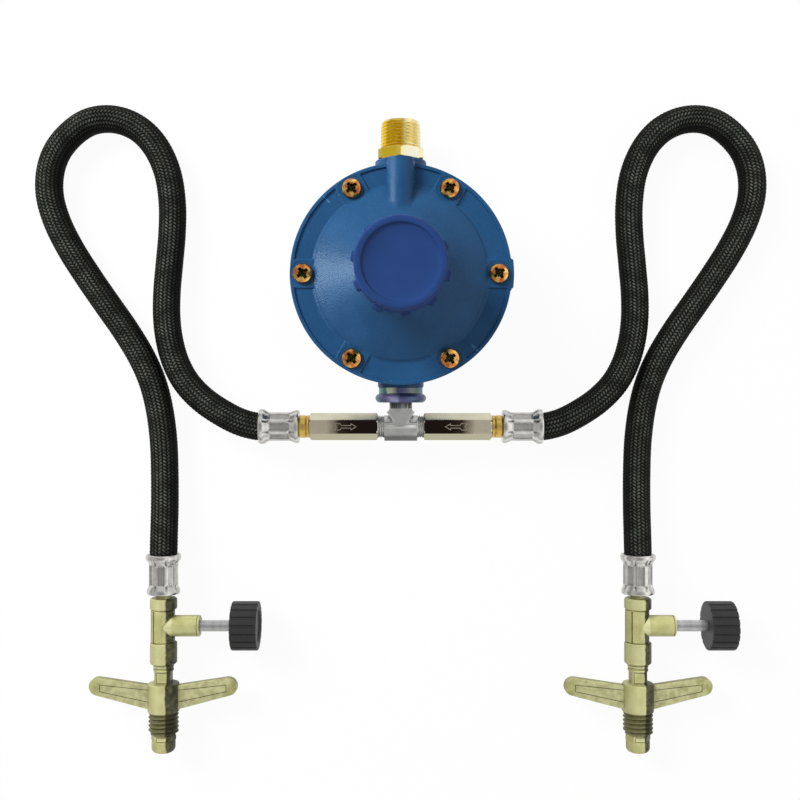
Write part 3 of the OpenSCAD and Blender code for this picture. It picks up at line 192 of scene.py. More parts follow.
class Finish:
    """A material whose colour and surface come from grain in the object's own space."""

    def __init__(self, name, metallic, roughness):
        self.material = bpy.data.materials.new(name)
        self.material.use_nodes = True
        self.nodes = self.material.node_tree.nodes
        self.shader = self.nodes["Principled BSDF"]
        self.shader.inputs["Metallic"].default_value = metallic
        self.shader.inputs["Roughness"].default_value = roughness
        self.space = self.nodes.new("ShaderNodeTexCoord").outputs["Object"]

    def link(self, source, target):
        self.material.node_tree.links.new(source, target)

    def noise(self, scale, detail, stretch=None):
        """Noise with scale grains to a metre; stretch squeezes it along an axis."""
        grain = self.nodes.new("ShaderNodeTexNoise")
        grain.inputs["Scale"].default_value = scale
        grain.inputs["Detail"].default_value = detail
        if stretch:
            mapping = self.nodes.new("ShaderNodeMapping")
            mapping.inputs["Scale"].default_value = stretch
            self.link(self.space, mapping.inputs["Vector"])
            self.link(mapping.outputs["Vector"], grain.inputs["Vector"])
        else:
            self.link(self.space, grain.inputs["Vector"])
        return grain.outputs["Fac"]

    def ramp(self, source, stops):
        """Colours along a value, from (value, colour) pairs."""
        ramp = self.nodes.new("ShaderNodeValToRGB")
        elements = ramp.color_ramp.elements
        elements[0].position, elements[0].color = stops[0]
        elements[1].position, elements[1].color = stops[-1]
        for position, colour in stops[1:-1]:
            elements.new(position).color = colour
        self.link(source, ramp.inputs["Fac"])
        return ramp.outputs["Color"]

    def mix(self, share, first, second, how="MIX"):
        """first blended with second; share is a socket or a number."""
        mix = self.nodes.new("ShaderNodeMix")
        mix.data_type, mix.blend_type = "RGBA", how
        for value, socket in ((share, mix.inputs[0]), (first, mix.inputs[6]), (second, mix.inputs[7])):
            if isinstance(value, bpy.types.NodeSocket):
                self.link(value, socket)
            else:
                socket.default_value = value
        return mix.outputs[2]

    def limit(self, source, low, high, out_low=0.0, out_high=1.0):
        """source stretched so that low..high becomes out_low..out_high, and held there."""
        span = self.nodes.new("ShaderNodeMapRange")
        set_range(span, low, high, out_low, out_high)
        self.link(source, span.inputs["Value"])
        return span.outputs["Result"]

    def math(self, how, first, second):
        """first and second, each a socket or a number, put through a Math node."""
        step = self.nodes.new("ShaderNodeMath")
        step.operation = how
        for value, socket in ((first, step.inputs[0]), (second, step.inputs[1])):
            if isinstance(value, bpy.types.NodeSocket):
                self.link(value, socket)
            else:
                socket.default_value = value
        return step.outputs[0]

    def times(self, first, second):
        return self.math("MULTIPLY", first, second)

    def plus(self, first, second):
        return self.math("ADD", first, second)

    def part(self, axis, source=None):
        """The x, y or z of the place on the object, or of another vector."""
        split = self.nodes.new("ShaderNodeSeparateXYZ")
        self.link(source or self.space, split.inputs[0])
        return split.outputs[axis]

    def facing(self, axis):
        """The x, y or z of the way the surface faces."""
        return self.part(axis, self.nodes.new("ShaderNodeNewGeometry").outputs["True Normal"])

    def edges(self, low=0.505, high=0.56):
        """1 on worn outer edges and 0 elsewhere."""
        worn = self.nodes.new("ShaderNodeNewGeometry").outputs["Pointiness"]
        return self.limit(worn, low, high)

    def hollows(self, low=0.40, high=0.475):
        """1 in sunk lines and inner corners and 0 elsewhere."""
        sunk = self.nodes.new("ShaderNodeNewGeometry").outputs["Pointiness"]
        return self.limit(sunk, low, high, 0.85, 0.0)

    def colour(self, source):
        self.link(source, self.shader.inputs["Base Color"])

    def rough(self, source, low, high):
        self.link(self.limit(source, 0.3, 0.7, low, high), self.shader.inputs["Roughness"])

    def bumps(self, *layers):
        """Bump layers as (height, depth in metres) pairs."""
        before = None
        for height_source, depth in layers:
            bump = self.nodes.new("ShaderNodeBump")
            bump.inputs["Distance"].default_value = depth
            self.link(height_source, bump.inputs["Height"])
            if before:
                self.link(before, bump.inputs["Normal"])
            before = bump.outputs["Normal"]
        self.link(before, self.shader.inputs["Normal"])


def blue_enamel():
    """Satin blue enamel with the fine grain of a sprayed coat on a casting."""
    enamel = Finish("blue_enamel", 0.0, 0.4)
    cloud = enamel.noise(60, 4)
    grain = enamel.noise(1500, 2)
    base = enamel.ramp(cloud, [(0.3, srgb(25, 67, 106)), (0.7, srgb(31, 76, 117))])
    speckled = enamel.mix(enamel.limit(grain, 0.56, 0.78, 0, 0.3), base, srgb(60, 110, 156))
    enamel.colour(enamel.mix(enamel.edges(0.53, 0.62), speckled, srgb(58, 112, 156)))
    enamel.rough(cloud, 0.34, 0.42)
    enamel.bumps((grain, 0.00012), (enamel.noise(500, 2), 0.00008))
    enamel.shader.inputs["Specular IOR Level"].default_value = 0.2
    return enamel.material


ENAMEL = blue_enamel()


def piece(mesh, name, material, body, stands_for, crease=35):
    """Hangs a finished mesh on its body, in place of the CAD nodes it stands for. A body given as
    (one, other, start, end) is not used: the piece then stays where it is, on no body."""
    made = in_scene(bpy.data.objects.new(name, mesh))
    mesh.name = name
    if not any(mesh.materials):
        mesh.materials.clear()
        mesh.materials.append(material)
        mesh.polygons.foreach_set("material_index", [0] * len(mesh.polygons))
    mesh.shade_smooth()
    mesh.set_sharp_from_angle(angle=math.radians(crease))
    if isinstance(body, str):
        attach(made, body)
    else:
        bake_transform(made)
    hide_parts(*stands_for)
    return made


def worked_mesh(blank):
    """The mesh that a blank's modifiers make of it. The blank itself goes."""
    bpy.context.view_layer.update()
    result = bpy.data.meshes.new_from_object(blank.evaluated_get(bpy.context.evaluated_depsgraph_get()))
    bpy.data.objects.remove(blank)
    return result


def with_modifiers(blank, *settings):
    """The mesh of a blank after modifiers, each given as (type, {setting: value})."""
    for kind, values in settings:
        modifier = blank.modifiers.new(kind.lower(), kind)
        for key, value in values.items():
            setattr(modifier, key, value)
    result = worked_mesh(blank)
    result.materials.clear()
    return result


def cad_blank(node, whole_flats=False):
    """A copy of a node to work on, its points welded and, if asked, its split flats made whole."""
    blank = in_scene(bpy.data.objects.new("blank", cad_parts[node].data.copy()))
    shape = bmesh.new()
    shape.from_mesh(blank.data)
    bmesh.ops.remove_doubles(shape, verts=shape.verts, dist=WELD)
    if whole_flats:
        bmesh.ops.dissolve_limit(shape, angle_limit=math.radians(1), verts=shape.verts, edges=shape.edges)
    shape.to_mesh(blank.data)
    shape.free()
    return blank


def cast_skin(node):
    """A node's shape with the soft edges and fillets that a mould gives it."""
    return with_modifiers(
        cad_blank(node),
        ("REMESH", {"mode": "VOXEL", "voxel_size": CAST_VOXEL}),
        ("SMOOTH", {"iterations": CAST_SMOOTHING, "factor": 0.5}),
        ("DECIMATE", {"ratio": CAST_KEEP}))


piece(cast_skin("lower_housing"), "lower_housing_casting", ENAMEL, "root", ["lower_housing"],
      crease=60)

# Bonnet.
# The upper casting: a flange with a raised lip and six screw pads, a shallow cone that holds the
# spring, and a rib over the vent passage. One skin over the whole top, with cast fillets.
JOINT_Z, TOWER_TOP_Z = (corner.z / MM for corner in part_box("bonnet"))
AXIS_Z = 18
RIM_R = 57.2
RIM_DROP = 0.45
PAD_PROUD = 1.2
SEAT_R = 6.8
SEAT_DEPTH = 0.25
PAD_HALF = 7.9
PAD_IN_R = 43.6
LIP_Z = JOINT_Z + 5.5
LIP_FLOOR_Z = LIP_Z - 1.0
LIP_W = 1.8
TOWER_R = 20.5
TOWER_BORE = 16.3
RIB_R = 7.3
RIB_Z = JOINT_Z + 6.0
SPOUT_Y = RIM_R + 1.8
VENT_R = 3.4
VENT_Y, VENT_L = 44, 17
CONE_FILLET, RIB_FILLET = 0.5, 1.6
CONE = [(46.2, 0.0), (45.4, 0.35), (44.4, 1.3), (40.0, 3.9), (31.5, 8.96), (23.5, 14.0), (21.3, 16.6),
        (20.5, 19.5)]
BONNET_INSIDE = [(43.0, JOINT_Z), (43.0, JOINT_Z + 1.5), (41.8, 41.3), (30.5, 47.96), (18.3, 53.0),
                 (TOWER_BORE, 57.0), (TOWER_BORE, TOWER_TOP_Z), (TOWER_R - 0.8, TOWER_TOP_Z),
                 (TOWER_R, TOWER_TOP_Z - 1.0), (TOWER_R, 64.0)]
BONNET_STEPS = 960
FOOT_GAP = 0.02
FLANGE_FROM = 0.86
SCREW_ANGLES = [i * 60 for i in range(6)]
LOCATING_PAD = [0]
SCREW_CIRCLE = 50.4


def ease(x, low, high):
    """0 below low, 1 above high, and smooth in between."""
    t = np.clip((x - low) / (high - low), 0, 1)
    return t * t * (3 - 2 * t)


def soft_max(a, b, width):
    """The larger of two heights, with a fillet of that width where they meet."""
    t = np.clip(0.5 + 0.5 * (a - b) / width, 0, 1)
    return b + (a - b) * t + width * t * (1 - t)


def pad_share(x, y, soft, pads=SCREW_ANGLES):
    """1 on the screw pads, 0 off them, for places in millimetres."""
    share = np.zeros_like(x)
    for angle in pads:
        c, s = math.cos(math.radians(angle)), math.sin(math.radians(angle))
        along, across = x * c + y * s, np.abs(y * c - x * s)
        share = np.maximum(share, (1 - ease(across, PAD_HALF - soft, PAD_HALF))
                           * ease(along, PAD_IN_R, PAD_IN_R + soft))
    return share


def bonnet_top(x, y):
    """Height of the bonnet's top above the back face, for places in millimetres."""
    r = np.hypot(x, y)
    cone = LIP_FLOOR_Z + np.interp(-r, [-p[0] for p in CONE], [p[1] for p in CONE])
    lip = ease(r, RIM_R - LIP_W - 0.5, RIM_R - LIP_W + 0.1)
    flange = LIP_FLOOR_Z + (LIP_Z - LIP_FLOOR_Z) * np.maximum(lip, pad_share(x, y, 0.7))
    flange = flange - RIM_DROP * ease(r, RIM_R - 0.8, RIM_R + PAD_PROUD)
    for angle in np.radians(SCREW_ANGLES):
        from_screw = np.hypot(x - SCREW_CIRCLE * np.cos(angle), y - SCREW_CIRCLE * np.sin(angle))
        flange = flange - SEAT_DEPTH * (1 - ease(from_screw, SEAT_R - 0.4, SEAT_R))
    rib = RIB_Z + np.sqrt(np.clip(RIB_R ** 2 - x ** 2, 0, None))
    rib = np.where((np.abs(x) < RIB_R) & (y > 0), rib, 0.0)
    shape = soft_max(flange, np.where(r < CONE[0][0], cone, 0.0), CONE_FILLET)
    return soft_max(shape, rib, RIB_FILLET)


def rim(angle):
    """Radius of the bonnet's outline at an angle in radians."""
    x, y = RIM_R * np.cos(angle), RIM_R * np.sin(angle)
    edge = RIM_R + PAD_PROUD * pad_share(x, y, 0.9, LOCATING_PAD)
    spout = SPOUT_Y / np.maximum(np.sin(angle), 0.2)
    on_spout = 1 - ease(np.abs(np.cos(angle)) * spout, RIB_R - 0.9, RIB_R)
    return edge + (np.maximum(spout, edge) - edge) * on_spout * (np.sin(angle) > 0)


def loft(rings, closed=True):
    """Quads between equal rings of points; a closed loft joins the last ring to the first."""
    count = len(rings[0])
    verts = [tuple(p) for ring in rings for p in ring]
    faces = []
    for a in range(len(rings) - (0 if closed else 1)):
        b = (a + 1) % len(rings)
        faces += [(a * count + k, a * count + (k + 1) % count, b * count + (k + 1) % count, b * count + k)
                  for k in range(count)]
    return verts, faces


def mesh_from(shape):
    """The mesh of a finished bmesh, which is then freed."""
    mesh = bpy.data.meshes.new("shape")
    shape.to_mesh(mesh)
    shape.free()
    return mesh


def mesh_of(parts, place=None):
    """One clean mesh in metres from (verts, faces) parts in millimetres, put in place by a matrix."""
    shape = bmesh.new()
    for verts, faces in parts:
        made = [shape.verts.new(v) for v in verts]
        for face in faces:
            shape.faces.new([made[i] for i in face])
    bmesh.ops.remove_doubles(shape, verts=shape.verts, dist=0.0005)
    bmesh.ops.dissolve_degenerate(shape, edges=shape.edges, dist=0.0001)
    bmesh.ops.recalc_face_normals(shape, faces=shape.faces)
    if place:
        shape.transform(place)
    shape.transform(Matrix.Scale(MM, 4))
    return mesh_from(shape)


def carve(mesh, cutter, how="DIFFERENCE"):
    """mesh with the cutter taken away, or joined on; a cutter with a material leaves it on the cut."""
    base, tool = (in_scene(bpy.data.objects.new("blank", m)) for m in (mesh, cutter))
    modifier = base.modifiers.new("carve", "BOOLEAN")
    modifier.object, modifier.operation, modifier.solver = tool, how, "EXACT"
    modifier.material_mode = "TRANSFER"
    result = worked_mesh(base)
    bpy.data.objects.remove(tool)
    return result


def bonnet_mesh():
    """The casting as rings from the tower's foot out over the rim and back along the inside."""
    angles = np.linspace(0, 2 * np.pi, BONNET_STEPS, endpoint=False)
    edge = rim(angles)
    rings = []
    for t in np.concatenate([np.linspace(0, FLANGE_FROM, 84), np.linspace(FLANGE_FROM, 1, 40)[1:]]):
        r = TOWER_R + FOOT_GAP + (edge - TOWER_R - FOOT_GAP) * t
        x, y = r * np.cos(angles), r * np.sin(angles)
        rings.append(np.stack([x, y, bonnet_top(x, y)], 1))
    x, y = edge * np.cos(angles), edge * np.sin(angles)
    top = rings[-1][:, 2]
    for t in (0.06, 0.5, 0.94):
        rings.append(np.stack([x, y, top + (JOINT_Z - top) * t], 1))
    rings.append(np.stack([x * 0.994, y * 0.994, np.full_like(x, JOINT_Z)], 1))
    for r, z in BONNET_INSIDE:
        rings.append(np.stack([r * np.cos(angles), r * np.sin(angles), np.full_like(angles, z)], 1))
    return mesh_of([loft(rings)])


def turned(profile, sides, shape=None):
    """A profile of (radius, height) points turned round Z; shape(angle, r, z) works the radius."""
    angles = np.linspace(0, 2 * np.pi, sides, endpoint=False)
    rings = []
    for r, z in profile:
        radii = shape(angles, r, z) if shape else np.full(sides, float(r))
        rings.append(np.stack([radii * np.cos(angles), radii * np.sin(angles), np.full(sides, z)], 1))
    return loft(rings)


def toward_outlet(y, z=AXIS_Z):
    """Lays a turned shape along the gas line, its foot at y."""
    return Matrix.Translation((0, y, z)) @ Matrix.Rotation(math.radians(-90), 4, "X")


vent_bore = mesh_of([turned([(0, 0), (VENT_R, 0), (VENT_R, VENT_L), (0, VENT_L)], 48)],
                    toward_outlet(VENT_Y, RIB_Z))
bonnet = piece(carve(bonnet_mesh(), vent_bore), "bonnet_casting", ENAMEL, "root", ["bonnet"])

# A low strip light on the left leaves a satin sheen on the cone and on the rib.
satin_lamp = area_lamp("satin_lamp", place=(-0.49, 0.06, 0.25), size=0.14, watts=3.4, mirrored=True)
satin_lamp.data.color = (0.72, 0.88, 1.0)
satin_lamp.data.shape = "RECTANGLE"
satin_lamp.data.size_y = 0.3
satin_lamp.visible_diffuse = False
enamelled = bpy.data.collections.new("enamelled")
enamelled.objects.link(bonnet)
satin_lamp.light_linking.receiver_collection = enamelled

# Flange screws.
# Six pan head machine screws with a cross recess, yellow passivated zinc with a reddish tint.
# Each stands in its pad, and no two crosses stop at the same angle.
HEAD_R = 5.1
HEAD_H = 3.3
SHANK_R = 2.4
SHANK_L = 16
CROSS_W = 1.9
CROSS_HALF = 3.55
CROSS_CORE = 1.75
CROSS_TAPER = 0.72
SCREW_TURNS = (36, 33, 41, 35, 38, 34)


def passivated_zinc():
    zinc = Finish("passivated_zinc", 1.0, 0.26)
    patches = zinc.noise(300, 2)
    tint = zinc.ramp(patches, [
        (0.34, srgb(176, 98, 58)), (0.5, srgb(220, 150, 78)), (0.66, srgb(250, 212, 122))])
    zinc.colour(tint)
    zinc.rough(zinc.noise(700, 2), 0.18, 0.3)
    zinc.bumps((zinc.noise(900, 2), 0.00002))
    return zinc.material


def dark_recess():
    """Painted shade in the bottom of the driver recess: near black, with small greenish painted glints."""
    recess_shade = Finish("dark_recess", 0.9, 0.35)
    recess_shade.colour(recess_shade.ramp(recess_shade.noise(1500, 2), [(0.45, srgb(22, 17, 12)), (0.62, srgb(74, 84, 40))]))
    recess_shade.bumps((recess_shade.noise(1900, 2), 0.00003))
    return recess_shade.material


def recess_wall(half_x, half_y, taper, low, high):
    """A tapered plug for a driver recess."""
    rings = [[(x * half_x * k, y * half_y * k, z) for x, y in ((-1, -1), (1, -1), (1, 1), (-1, 1))]
             for k, z in ((taper, low), (1, high))]
    verts, faces = loft(rings, closed=False)
    return verts, faces + [(0, 1, 2, 3), (4, 5, 6, 7)]


def screw_mesh():
    head = [(0, -SHANK_L), (SHANK_R - 0.5, -SHANK_L), (SHANK_R, 0.5 - SHANK_L), (SHANK_R, -0.3),
            (HEAD_R - 0.3, -0.25), (HEAD_R, 0.1), (HEAD_R, HEAD_H * 0.3)]
    head += [(HEAD_R - 1.5 * (1 - math.cos(a)), HEAD_H * (0.3 + 0.5 * math.sin(a)))
             for a in np.radians([15, 30, 45, 60, 75])]
    head += [(3.2, HEAD_H * 0.86), (2.6, HEAD_H * 0.93), (1.6, HEAD_H * 0.98), (0, HEAD_H)]
    metal = mesh_of([turned(head, 64)])
    metal.materials.append(SCREW_ZINC)
    for half_x, half_y, angle in ((CROSS_HALF, CROSS_W / 2, 0), (CROSS_HALF, CROSS_W / 2, 90),
                                  (CROSS_CORE, CROSS_CORE, 0)):
        plug = mesh_of([recess_wall(half_x, half_y, CROSS_TAPER, HEAD_H * 0.25, HEAD_H + 0.6)],
                       Matrix.Rotation(math.radians(angle), 4, "Z"))
        plug.materials.append(RECESS)
        metal = carve(metal, plug)
    return metal


def joined(meshes):
    """Several meshes as one, with the materials of the first."""
    shape = bmesh.new()
    for mesh in meshes:
        shape.from_mesh(mesh)
    result = mesh_from(shape)
    for material in meshes[0].materials:
        result.materials.append(material)
    return result


SCREW_ZINC, RECESS = passivated_zinc(), dark_recess()
one_screw = screw_mesh()
screws = []
for place, turn in zip(SCREW_ANGLES, SCREW_TURNS):
    copy = one_screw.copy()
    copy.transform(Matrix.Rotation(math.radians(place), 4, "Z")
                   @ Matrix.Translation(Vector((SCREW_CIRCLE, 0, LIP_Z)) * MM)
                   @ Matrix.Rotation(math.radians(turn - place), 4, "Z"))
    screws.append(copy)
piece(joined(screws), "flange_screws", None, "root", ["bonnet_screws"], crease=40)

# Adjuster cap.
# Injection moulded cap in royal blue plastic, screwed over the spring tower. Ten blunt lobes
# stand round the skirt for grip, and the top is dished inside a raised ring.
CAP_LOW, CAP_TOP = (corner.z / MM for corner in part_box("adjuster_cap"))
CAP_IN_R = 20.58
CAP_OUT_R = 22.48
LOBE_PROUD = 2.1
LOBE_HALF = 2.5
LOBE_TOP = CAP_LOW + 9.5
LOBE_START = 24.5
LOBE_STEP = 36


def cap_plastic():
    plastic = Finish("cap_plastic", 0.0, 0.4)
    cloud = plastic.noise(45, 3)
    plastic.colour(plastic.ramp(cloud, [(0.3, srgb(28, 55, 104)), (0.7, srgb(34, 61, 113))]))
    plastic.rough(cloud, 0.46, 0.56)
    plastic.bumps((plastic.noise(1100, 2), 0.00005), (plastic.noise(130, 2), 0.00025))
    plastic.shader.inputs["Specular IOR Level"].default_value = 0.2
    return plastic.material


def lobed(angles, r, z):
    """The skirt's radius with its grip lobes, whose tops are rounded off."""
    if r < CAP_OUT_R - 0.01:
        return np.full_like(angles, r)
    from_lobe = (np.degrees(angles) - LOBE_START + LOBE_STEP / 2) % LOBE_STEP - LOBE_STEP / 2
    across = np.abs(np.radians(from_lobe)) * CAP_OUT_R
    rise = 1 - ease(np.array(z), LOBE_TOP - 0.9, LOBE_TOP)
    return r + LOBE_PROUD * rise * (1 - ease(across, LOBE_HALF - 0.9, LOBE_HALF + 0.5))


skirt = [(CAP_OUT_R, CAP_LOW + t) for t in (0.3, 3, 6, 8.4, 8.7, 8.9, 9.1, 9.3, 9.5, 9.7, 13, 18.5)]
cap_profile = [(CAP_IN_R, CAP_LOW), (CAP_OUT_R - 0.3, CAP_LOW)] + skirt + [
    (CAP_OUT_R - 0.05, CAP_TOP - 0.9), (CAP_OUT_R - 0.35, CAP_TOP - 0.35), (CAP_OUT_R - 0.9, CAP_TOP - 0.05),
    (CAP_OUT_R - 1.5, CAP_TOP), (CAP_OUT_R - 2.8, CAP_TOP), (CAP_OUT_R - 3.3, CAP_TOP - 0.15),
    (CAP_OUT_R - 3.6, CAP_TOP - 0.45), (CAP_OUT_R - 3.8, CAP_TOP - 1.0), (CAP_OUT_R - 4.1, CAP_TOP - 1.35),
    (CAP_OUT_R - 5.2, CAP_TOP - 1.65), (CAP_OUT_R - 7.1, CAP_TOP - 2.1), (12, CAP_TOP - 2.4),
    (8, CAP_TOP - 2.5), (0, CAP_TOP - 2.5), (0, CAP_TOP - 5), (TOWER_BORE, CAP_TOP - 5),
    (TOWER_BORE, CAP_TOP - 6.8), (CAP_IN_R, CAP_TOP - 6.8)]
piece(mesh_of([turned(cap_profile, 360, lobed)]), "adjuster_cap_moulding", cap_plastic(), "cap",
      ["adjuster_cap"])

# Outlet nipple.
# Turned from hexagon brass bar: a short hexagon, a relief and a taper pipe thread of 14 turns
# to the inch. Its right side carries a painted pale reflection, nearly white on the hexagon's right facet.
OUTLET_Y = 63.4
OUTLET_HEX_L = 6
OUTLET_HEX = 24
OUTLET_BORE = 7
THREAD_PITCH = 25.4 / 14
THREAD_DEPTH = 1.05
THREAD_LOW, THREAD_HIGH = 7.2, 20.6


def bright_brass():
    brass = Finish("bright_brass", 1.0, 0.22)
    cloud = brass.noise(240, 2)
    tint = brass.ramp(cloud, [(0.3, srgb(238, 204, 46)), (0.7, srgb(250, 216, 60))])
    # Painted reflection: pale cream right of the axis, and nearly white on the hexagon's right facet.
    right = brass.limit(brass.part(0), -0.0002, 0.0022)
    tint = brass.mix(brass.times(right, 0.7), tint, srgb(240, 234, 196))
    hexagon_end = OUTLET_Y + OUTLET_HEX_L
    on_hexagon = brass.limit(brass.part(1), (hexagon_end - 0.5) * MM, hexagon_end * MM, 1.0, 0.0)
    tint = brass.mix(brass.times(right, brass.times(on_hexagon, 0.8)), tint, srgb(228, 228, 210))
    brass.colour(brass.mix(brass.edges(0.52, 0.62), tint, srgb(248, 228, 150)))
    brass.rough(cloud, 0.26, 0.36)
    brass.bumps((brass.noise(900, 2), 0.00001))
    return brass.material


def polygon_radius(angles, width, corners, phase=0.0):
    """Radius of a regular polygon bar, width across its flats, with a corner at phase."""
    step = 2 * np.pi / corners
    return width / 2 / np.cos((angles - phase) % step - step / 2)


def thread_radius(angles, r, z, pitch, depth, low, high):
    """Radius r with a right hand V thread cut into it between two heights."""
    turn = (z / pitch - angles / (2 * np.pi)) % 1
    groove = np.clip((np.abs(2 * turn - 1) - 0.12) / 0.76, 0, 1)
    fade = ease(np.array(z), low, low + pitch / 2) * (1 - ease(np.array(z), high - pitch / 2, high))
    return r - depth * groove * fade


def outlet_shape(angles, r, z):
    """Bore, hexagon and thread, by their place along the nipple."""
    if r <= OUTLET_BORE + 1.5 or z < 0:
        return np.full_like(angles, r)
    if z <= OUTLET_HEX_L:
        return np.minimum(r, polygon_radius(angles, OUTLET_HEX, 6, np.pi / 2))
    return thread_radius(angles, r, z, THREAD_PITCH, THREAD_DEPTH, THREAD_LOW, THREAD_HIGH)


thread_rows = [(10.75 - 0.25 * ease((z - 16) / 4, 0, 1), z) for z in np.arange(7.4, 19.4, THREAD_PITCH / 9)]
outlet_profile = [(OUTLET_BORE, -11), (9.5, -11), (9.5, 0), (12.6, 0), (13.9, 0.5), (13.9, 4.9), (12.6, 5.9),
                  (11.6, 6.0), (9.9, 6.0), (9.9, 6.8)] + thread_rows
outlet_profile += [(10.4, 19.9), (9.65, 21), (OUTLET_BORE + 0.5, 21), (OUTLET_BORE, 20.5)]
piece(mesh_of([turned(outlet_profile, 180, outlet_shape)], toward_outlet(OUTLET_Y)), "outlet_nipple_brass",
      bright_brass(), "root", ["outlet_nipple"], crease=28)

# Inlet adapter.
# Turned steel adapter between the housing and the tee, with a rolled collar. Its zinc plate is
# passivated, which leaves blue, green and violet bands like oil on water. These bands are partly that
# tint and partly painted reflection, and the pale bands are painted highlights.
ADAPTER_Y = -66.5
ADAPTER_BORE = 3.2
COLLAR_L = 4.8
COLLAR_ROLL = 2.4


def iridescent_zinc_and_sheen():
    zinc = Finish("iridescent_zinc_and_sheen", 0.6, 0.36)
    film = zinc.noise(260, 2, (0.8, 1.4, 1.0))
    across = zinc.limit(zinc.plus(zinc.part(0), zinc.limit(film, 0.3, 0.7, -0.0007, 0.0007)), -0.013, 0.013)
    # Colour bands by place across the neck and the collar: partly the plate's tint, partly painted
    # reflection; pale bands are painted highlights.
    neck = zinc.ramp(across, [
        (0.05, srgb(98, 138, 148)), (0.18, srgb(84, 118, 124)), (0.23, srgb(186, 232, 176)),
        (0.32, srgb(222, 206, 184)), (0.40, srgb(154, 178, 166)), (0.45, srgb(98, 102, 142)),
        (0.57, srgb(100, 104, 140)), (0.65, srgb(110, 118, 118)), (0.80, srgb(110, 122, 116)),
        (0.88, srgb(92, 132, 142)), (0.97, srgb(84, 112, 126))])
    sheen_bands = zinc.ramp(across, [
        (0.02, srgb(84, 108, 122)), (0.18, srgb(104, 92, 140)), (0.31, srgb(166, 154, 196)),
        (0.42, srgb(150, 156, 194)), (0.49, srgb(88, 86, 130)), (0.72, srgb(84, 94, 132)),
        (0.97, srgb(80, 92, 124))])
    sheen_bands = zinc.mix(zinc.limit(film, 0.5, 0.7, 0, 0.5), sheen_bands, srgb(86, 96, 138))
    on_neck = zinc.limit(zinc.part(1), (ADAPTER_Y + COLLAR_L - 0.4) * MM, (ADAPTER_Y + COLLAR_L) * MM)
    zinc.colour(zinc.mix(on_neck, sheen_bands, neck))
    zinc.rough(zinc.noise(600, 2), 0.32, 0.44)
    zinc.bumps((zinc.noise(800, 2, (0.3, 1, 0.3)), 0.00004))
    return zinc.material


collar = [(13.65 - COLLAR_ROLL * (1 - math.sin(a)), COLLAR_ROLL - COLLAR_ROLL * math.cos(a))
          for a in np.radians([0, 20, 40, 60, 80, 90])]
collar += [(r, COLLAR_L - z) for r, z in reversed(collar)]
adapter_profile = [(ADAPTER_BORE, 0)] + collar + [
    (11.9, COLLAR_L), (11.75, 5.0), (11.75, 7.9), (8.5, 8.0), (8.5, 16.8), (ADAPTER_BORE, 16.8)]
piece(mesh_of([turned(adapter_profile, 96)], toward_outlet(ADAPTER_Y)), "inlet_adapter_zinc",
      iridescent_zinc_and_sheen(), "root", ["inlet_adapter"], crease=30)

# Tee.
# A small forged steel tee with a dull grey plate: flat top and back, bevelled edges, and a
# pointed ring round its branch. Each end is threaded into the piece beside it.
ARM_Y = -79.4
TEE_HALF_W = 8.75
TEE_BEVEL = 0.22
BRANCH_END = 9.6
STUB_R = 6.1
STUB_PITCH = 1.15
STUB_DEPTH = 0.7
CHECK_X0 = 12.4


def dull_plate():
    steel = Finish("dull_plate", 0.9, 0.36)
    skin = steel.noise(300, 3)
    tint = steel.ramp(skin, [(0.3, srgb(190, 190, 187)), (0.7, srgb(208, 208, 205))])
    tint = steel.mix(steel.edges(0.52, 0.6), tint, srgb(230, 229, 224))
    stripes = steel.ramp(steel.noise(700, 1, (1, 0.05, 0.05)), [
        (0.42, srgb(84, 88, 80)), (0.6, srgb(176, 178, 172))])
    on_branch = steel.limit(steel.part(1), (ARM_Y + BRANCH_END) * MM, (ARM_Y + BRANCH_END + 0.3) * MM)
    tint = steel.mix(on_branch, tint, stripes)
    # Painted shade: faces that turn toward -y, and the tee past its arms toward -y, go dark grey.
    below = steel.math("MAXIMUM", steel.limit(steel.facing(1), -0.75, -0.3, 0.85, 0.0),
                       steel.limit(steel.part(1), (ARM_Y - 5.6) * MM, (ARM_Y - 3.9) * MM, 0.7, 0.0))
    steel.colour(steel.mix(below, tint, srgb(54, 54, 52)))
    steel.rough(skin, 0.32, 0.42)
    steel.bumps((steel.noise(1200, 2), 0.00002))
    return steel.material


def crisp_skin(node, width):
    """A node's own shape with its sharp edges broken by a narrow bevel."""
    return with_modifiers(cad_blank(node, whole_flats=True), ("BEVEL", {
        "width": width, "segments": 2, "limit_method": "ANGLE", "angle_limit": math.radians(28)}))


def arm(side, x):
    """Lays a turned shape along the tee's left (-1) or right (1) arm, its foot x from the middle."""
    return Matrix.Translation((side * x, ARM_Y, AXIS_Z)) @ Matrix.Rotation(side * math.radians(90), 4, "Y")


def stub_thread(angles, r, z):
    return np.full_like(angles, r) if r > STUB_R else thread_radius(
        angles, r, z, STUB_PITCH, STUB_DEPTH, TEE_HALF_W + 0.1, CHECK_X0 + 1)


thread_die = [(STUB_R + 1, CHECK_X0 - 0.05), (STUB_R + 1, TEE_HALF_W + 0.15)]
thread_die += [(STUB_R - 0.04, z) for z in np.arange(TEE_HALF_W + 0.15, CHECK_X0 - 0.05, STUB_PITCH / 8)]
forging = crisp_skin("tee", TEE_BEVEL * MM)
for side in (-1, 1):
    forging = carve(forging, mesh_of([turned(thread_die, 72, stub_thread)], arm(side, 0)))
piece(forging, "tee_forging", dull_plate(), "root", ["tee"], crease=35)

# Check valves.
# Two bodies of nickel plated hexagon bar with their corners turned down. The flat that faces
# up carries a painted reflection of a dark room over it, and an engraved arrow toward the tee.
SIDES = ((-1, "left"), (1, "right"))
CHECK_L = 36.4
CHECK_W = 12.7
ARROW_X = 29.6
ARROW_LINE = 0.42
ENGRAVE = 0.22


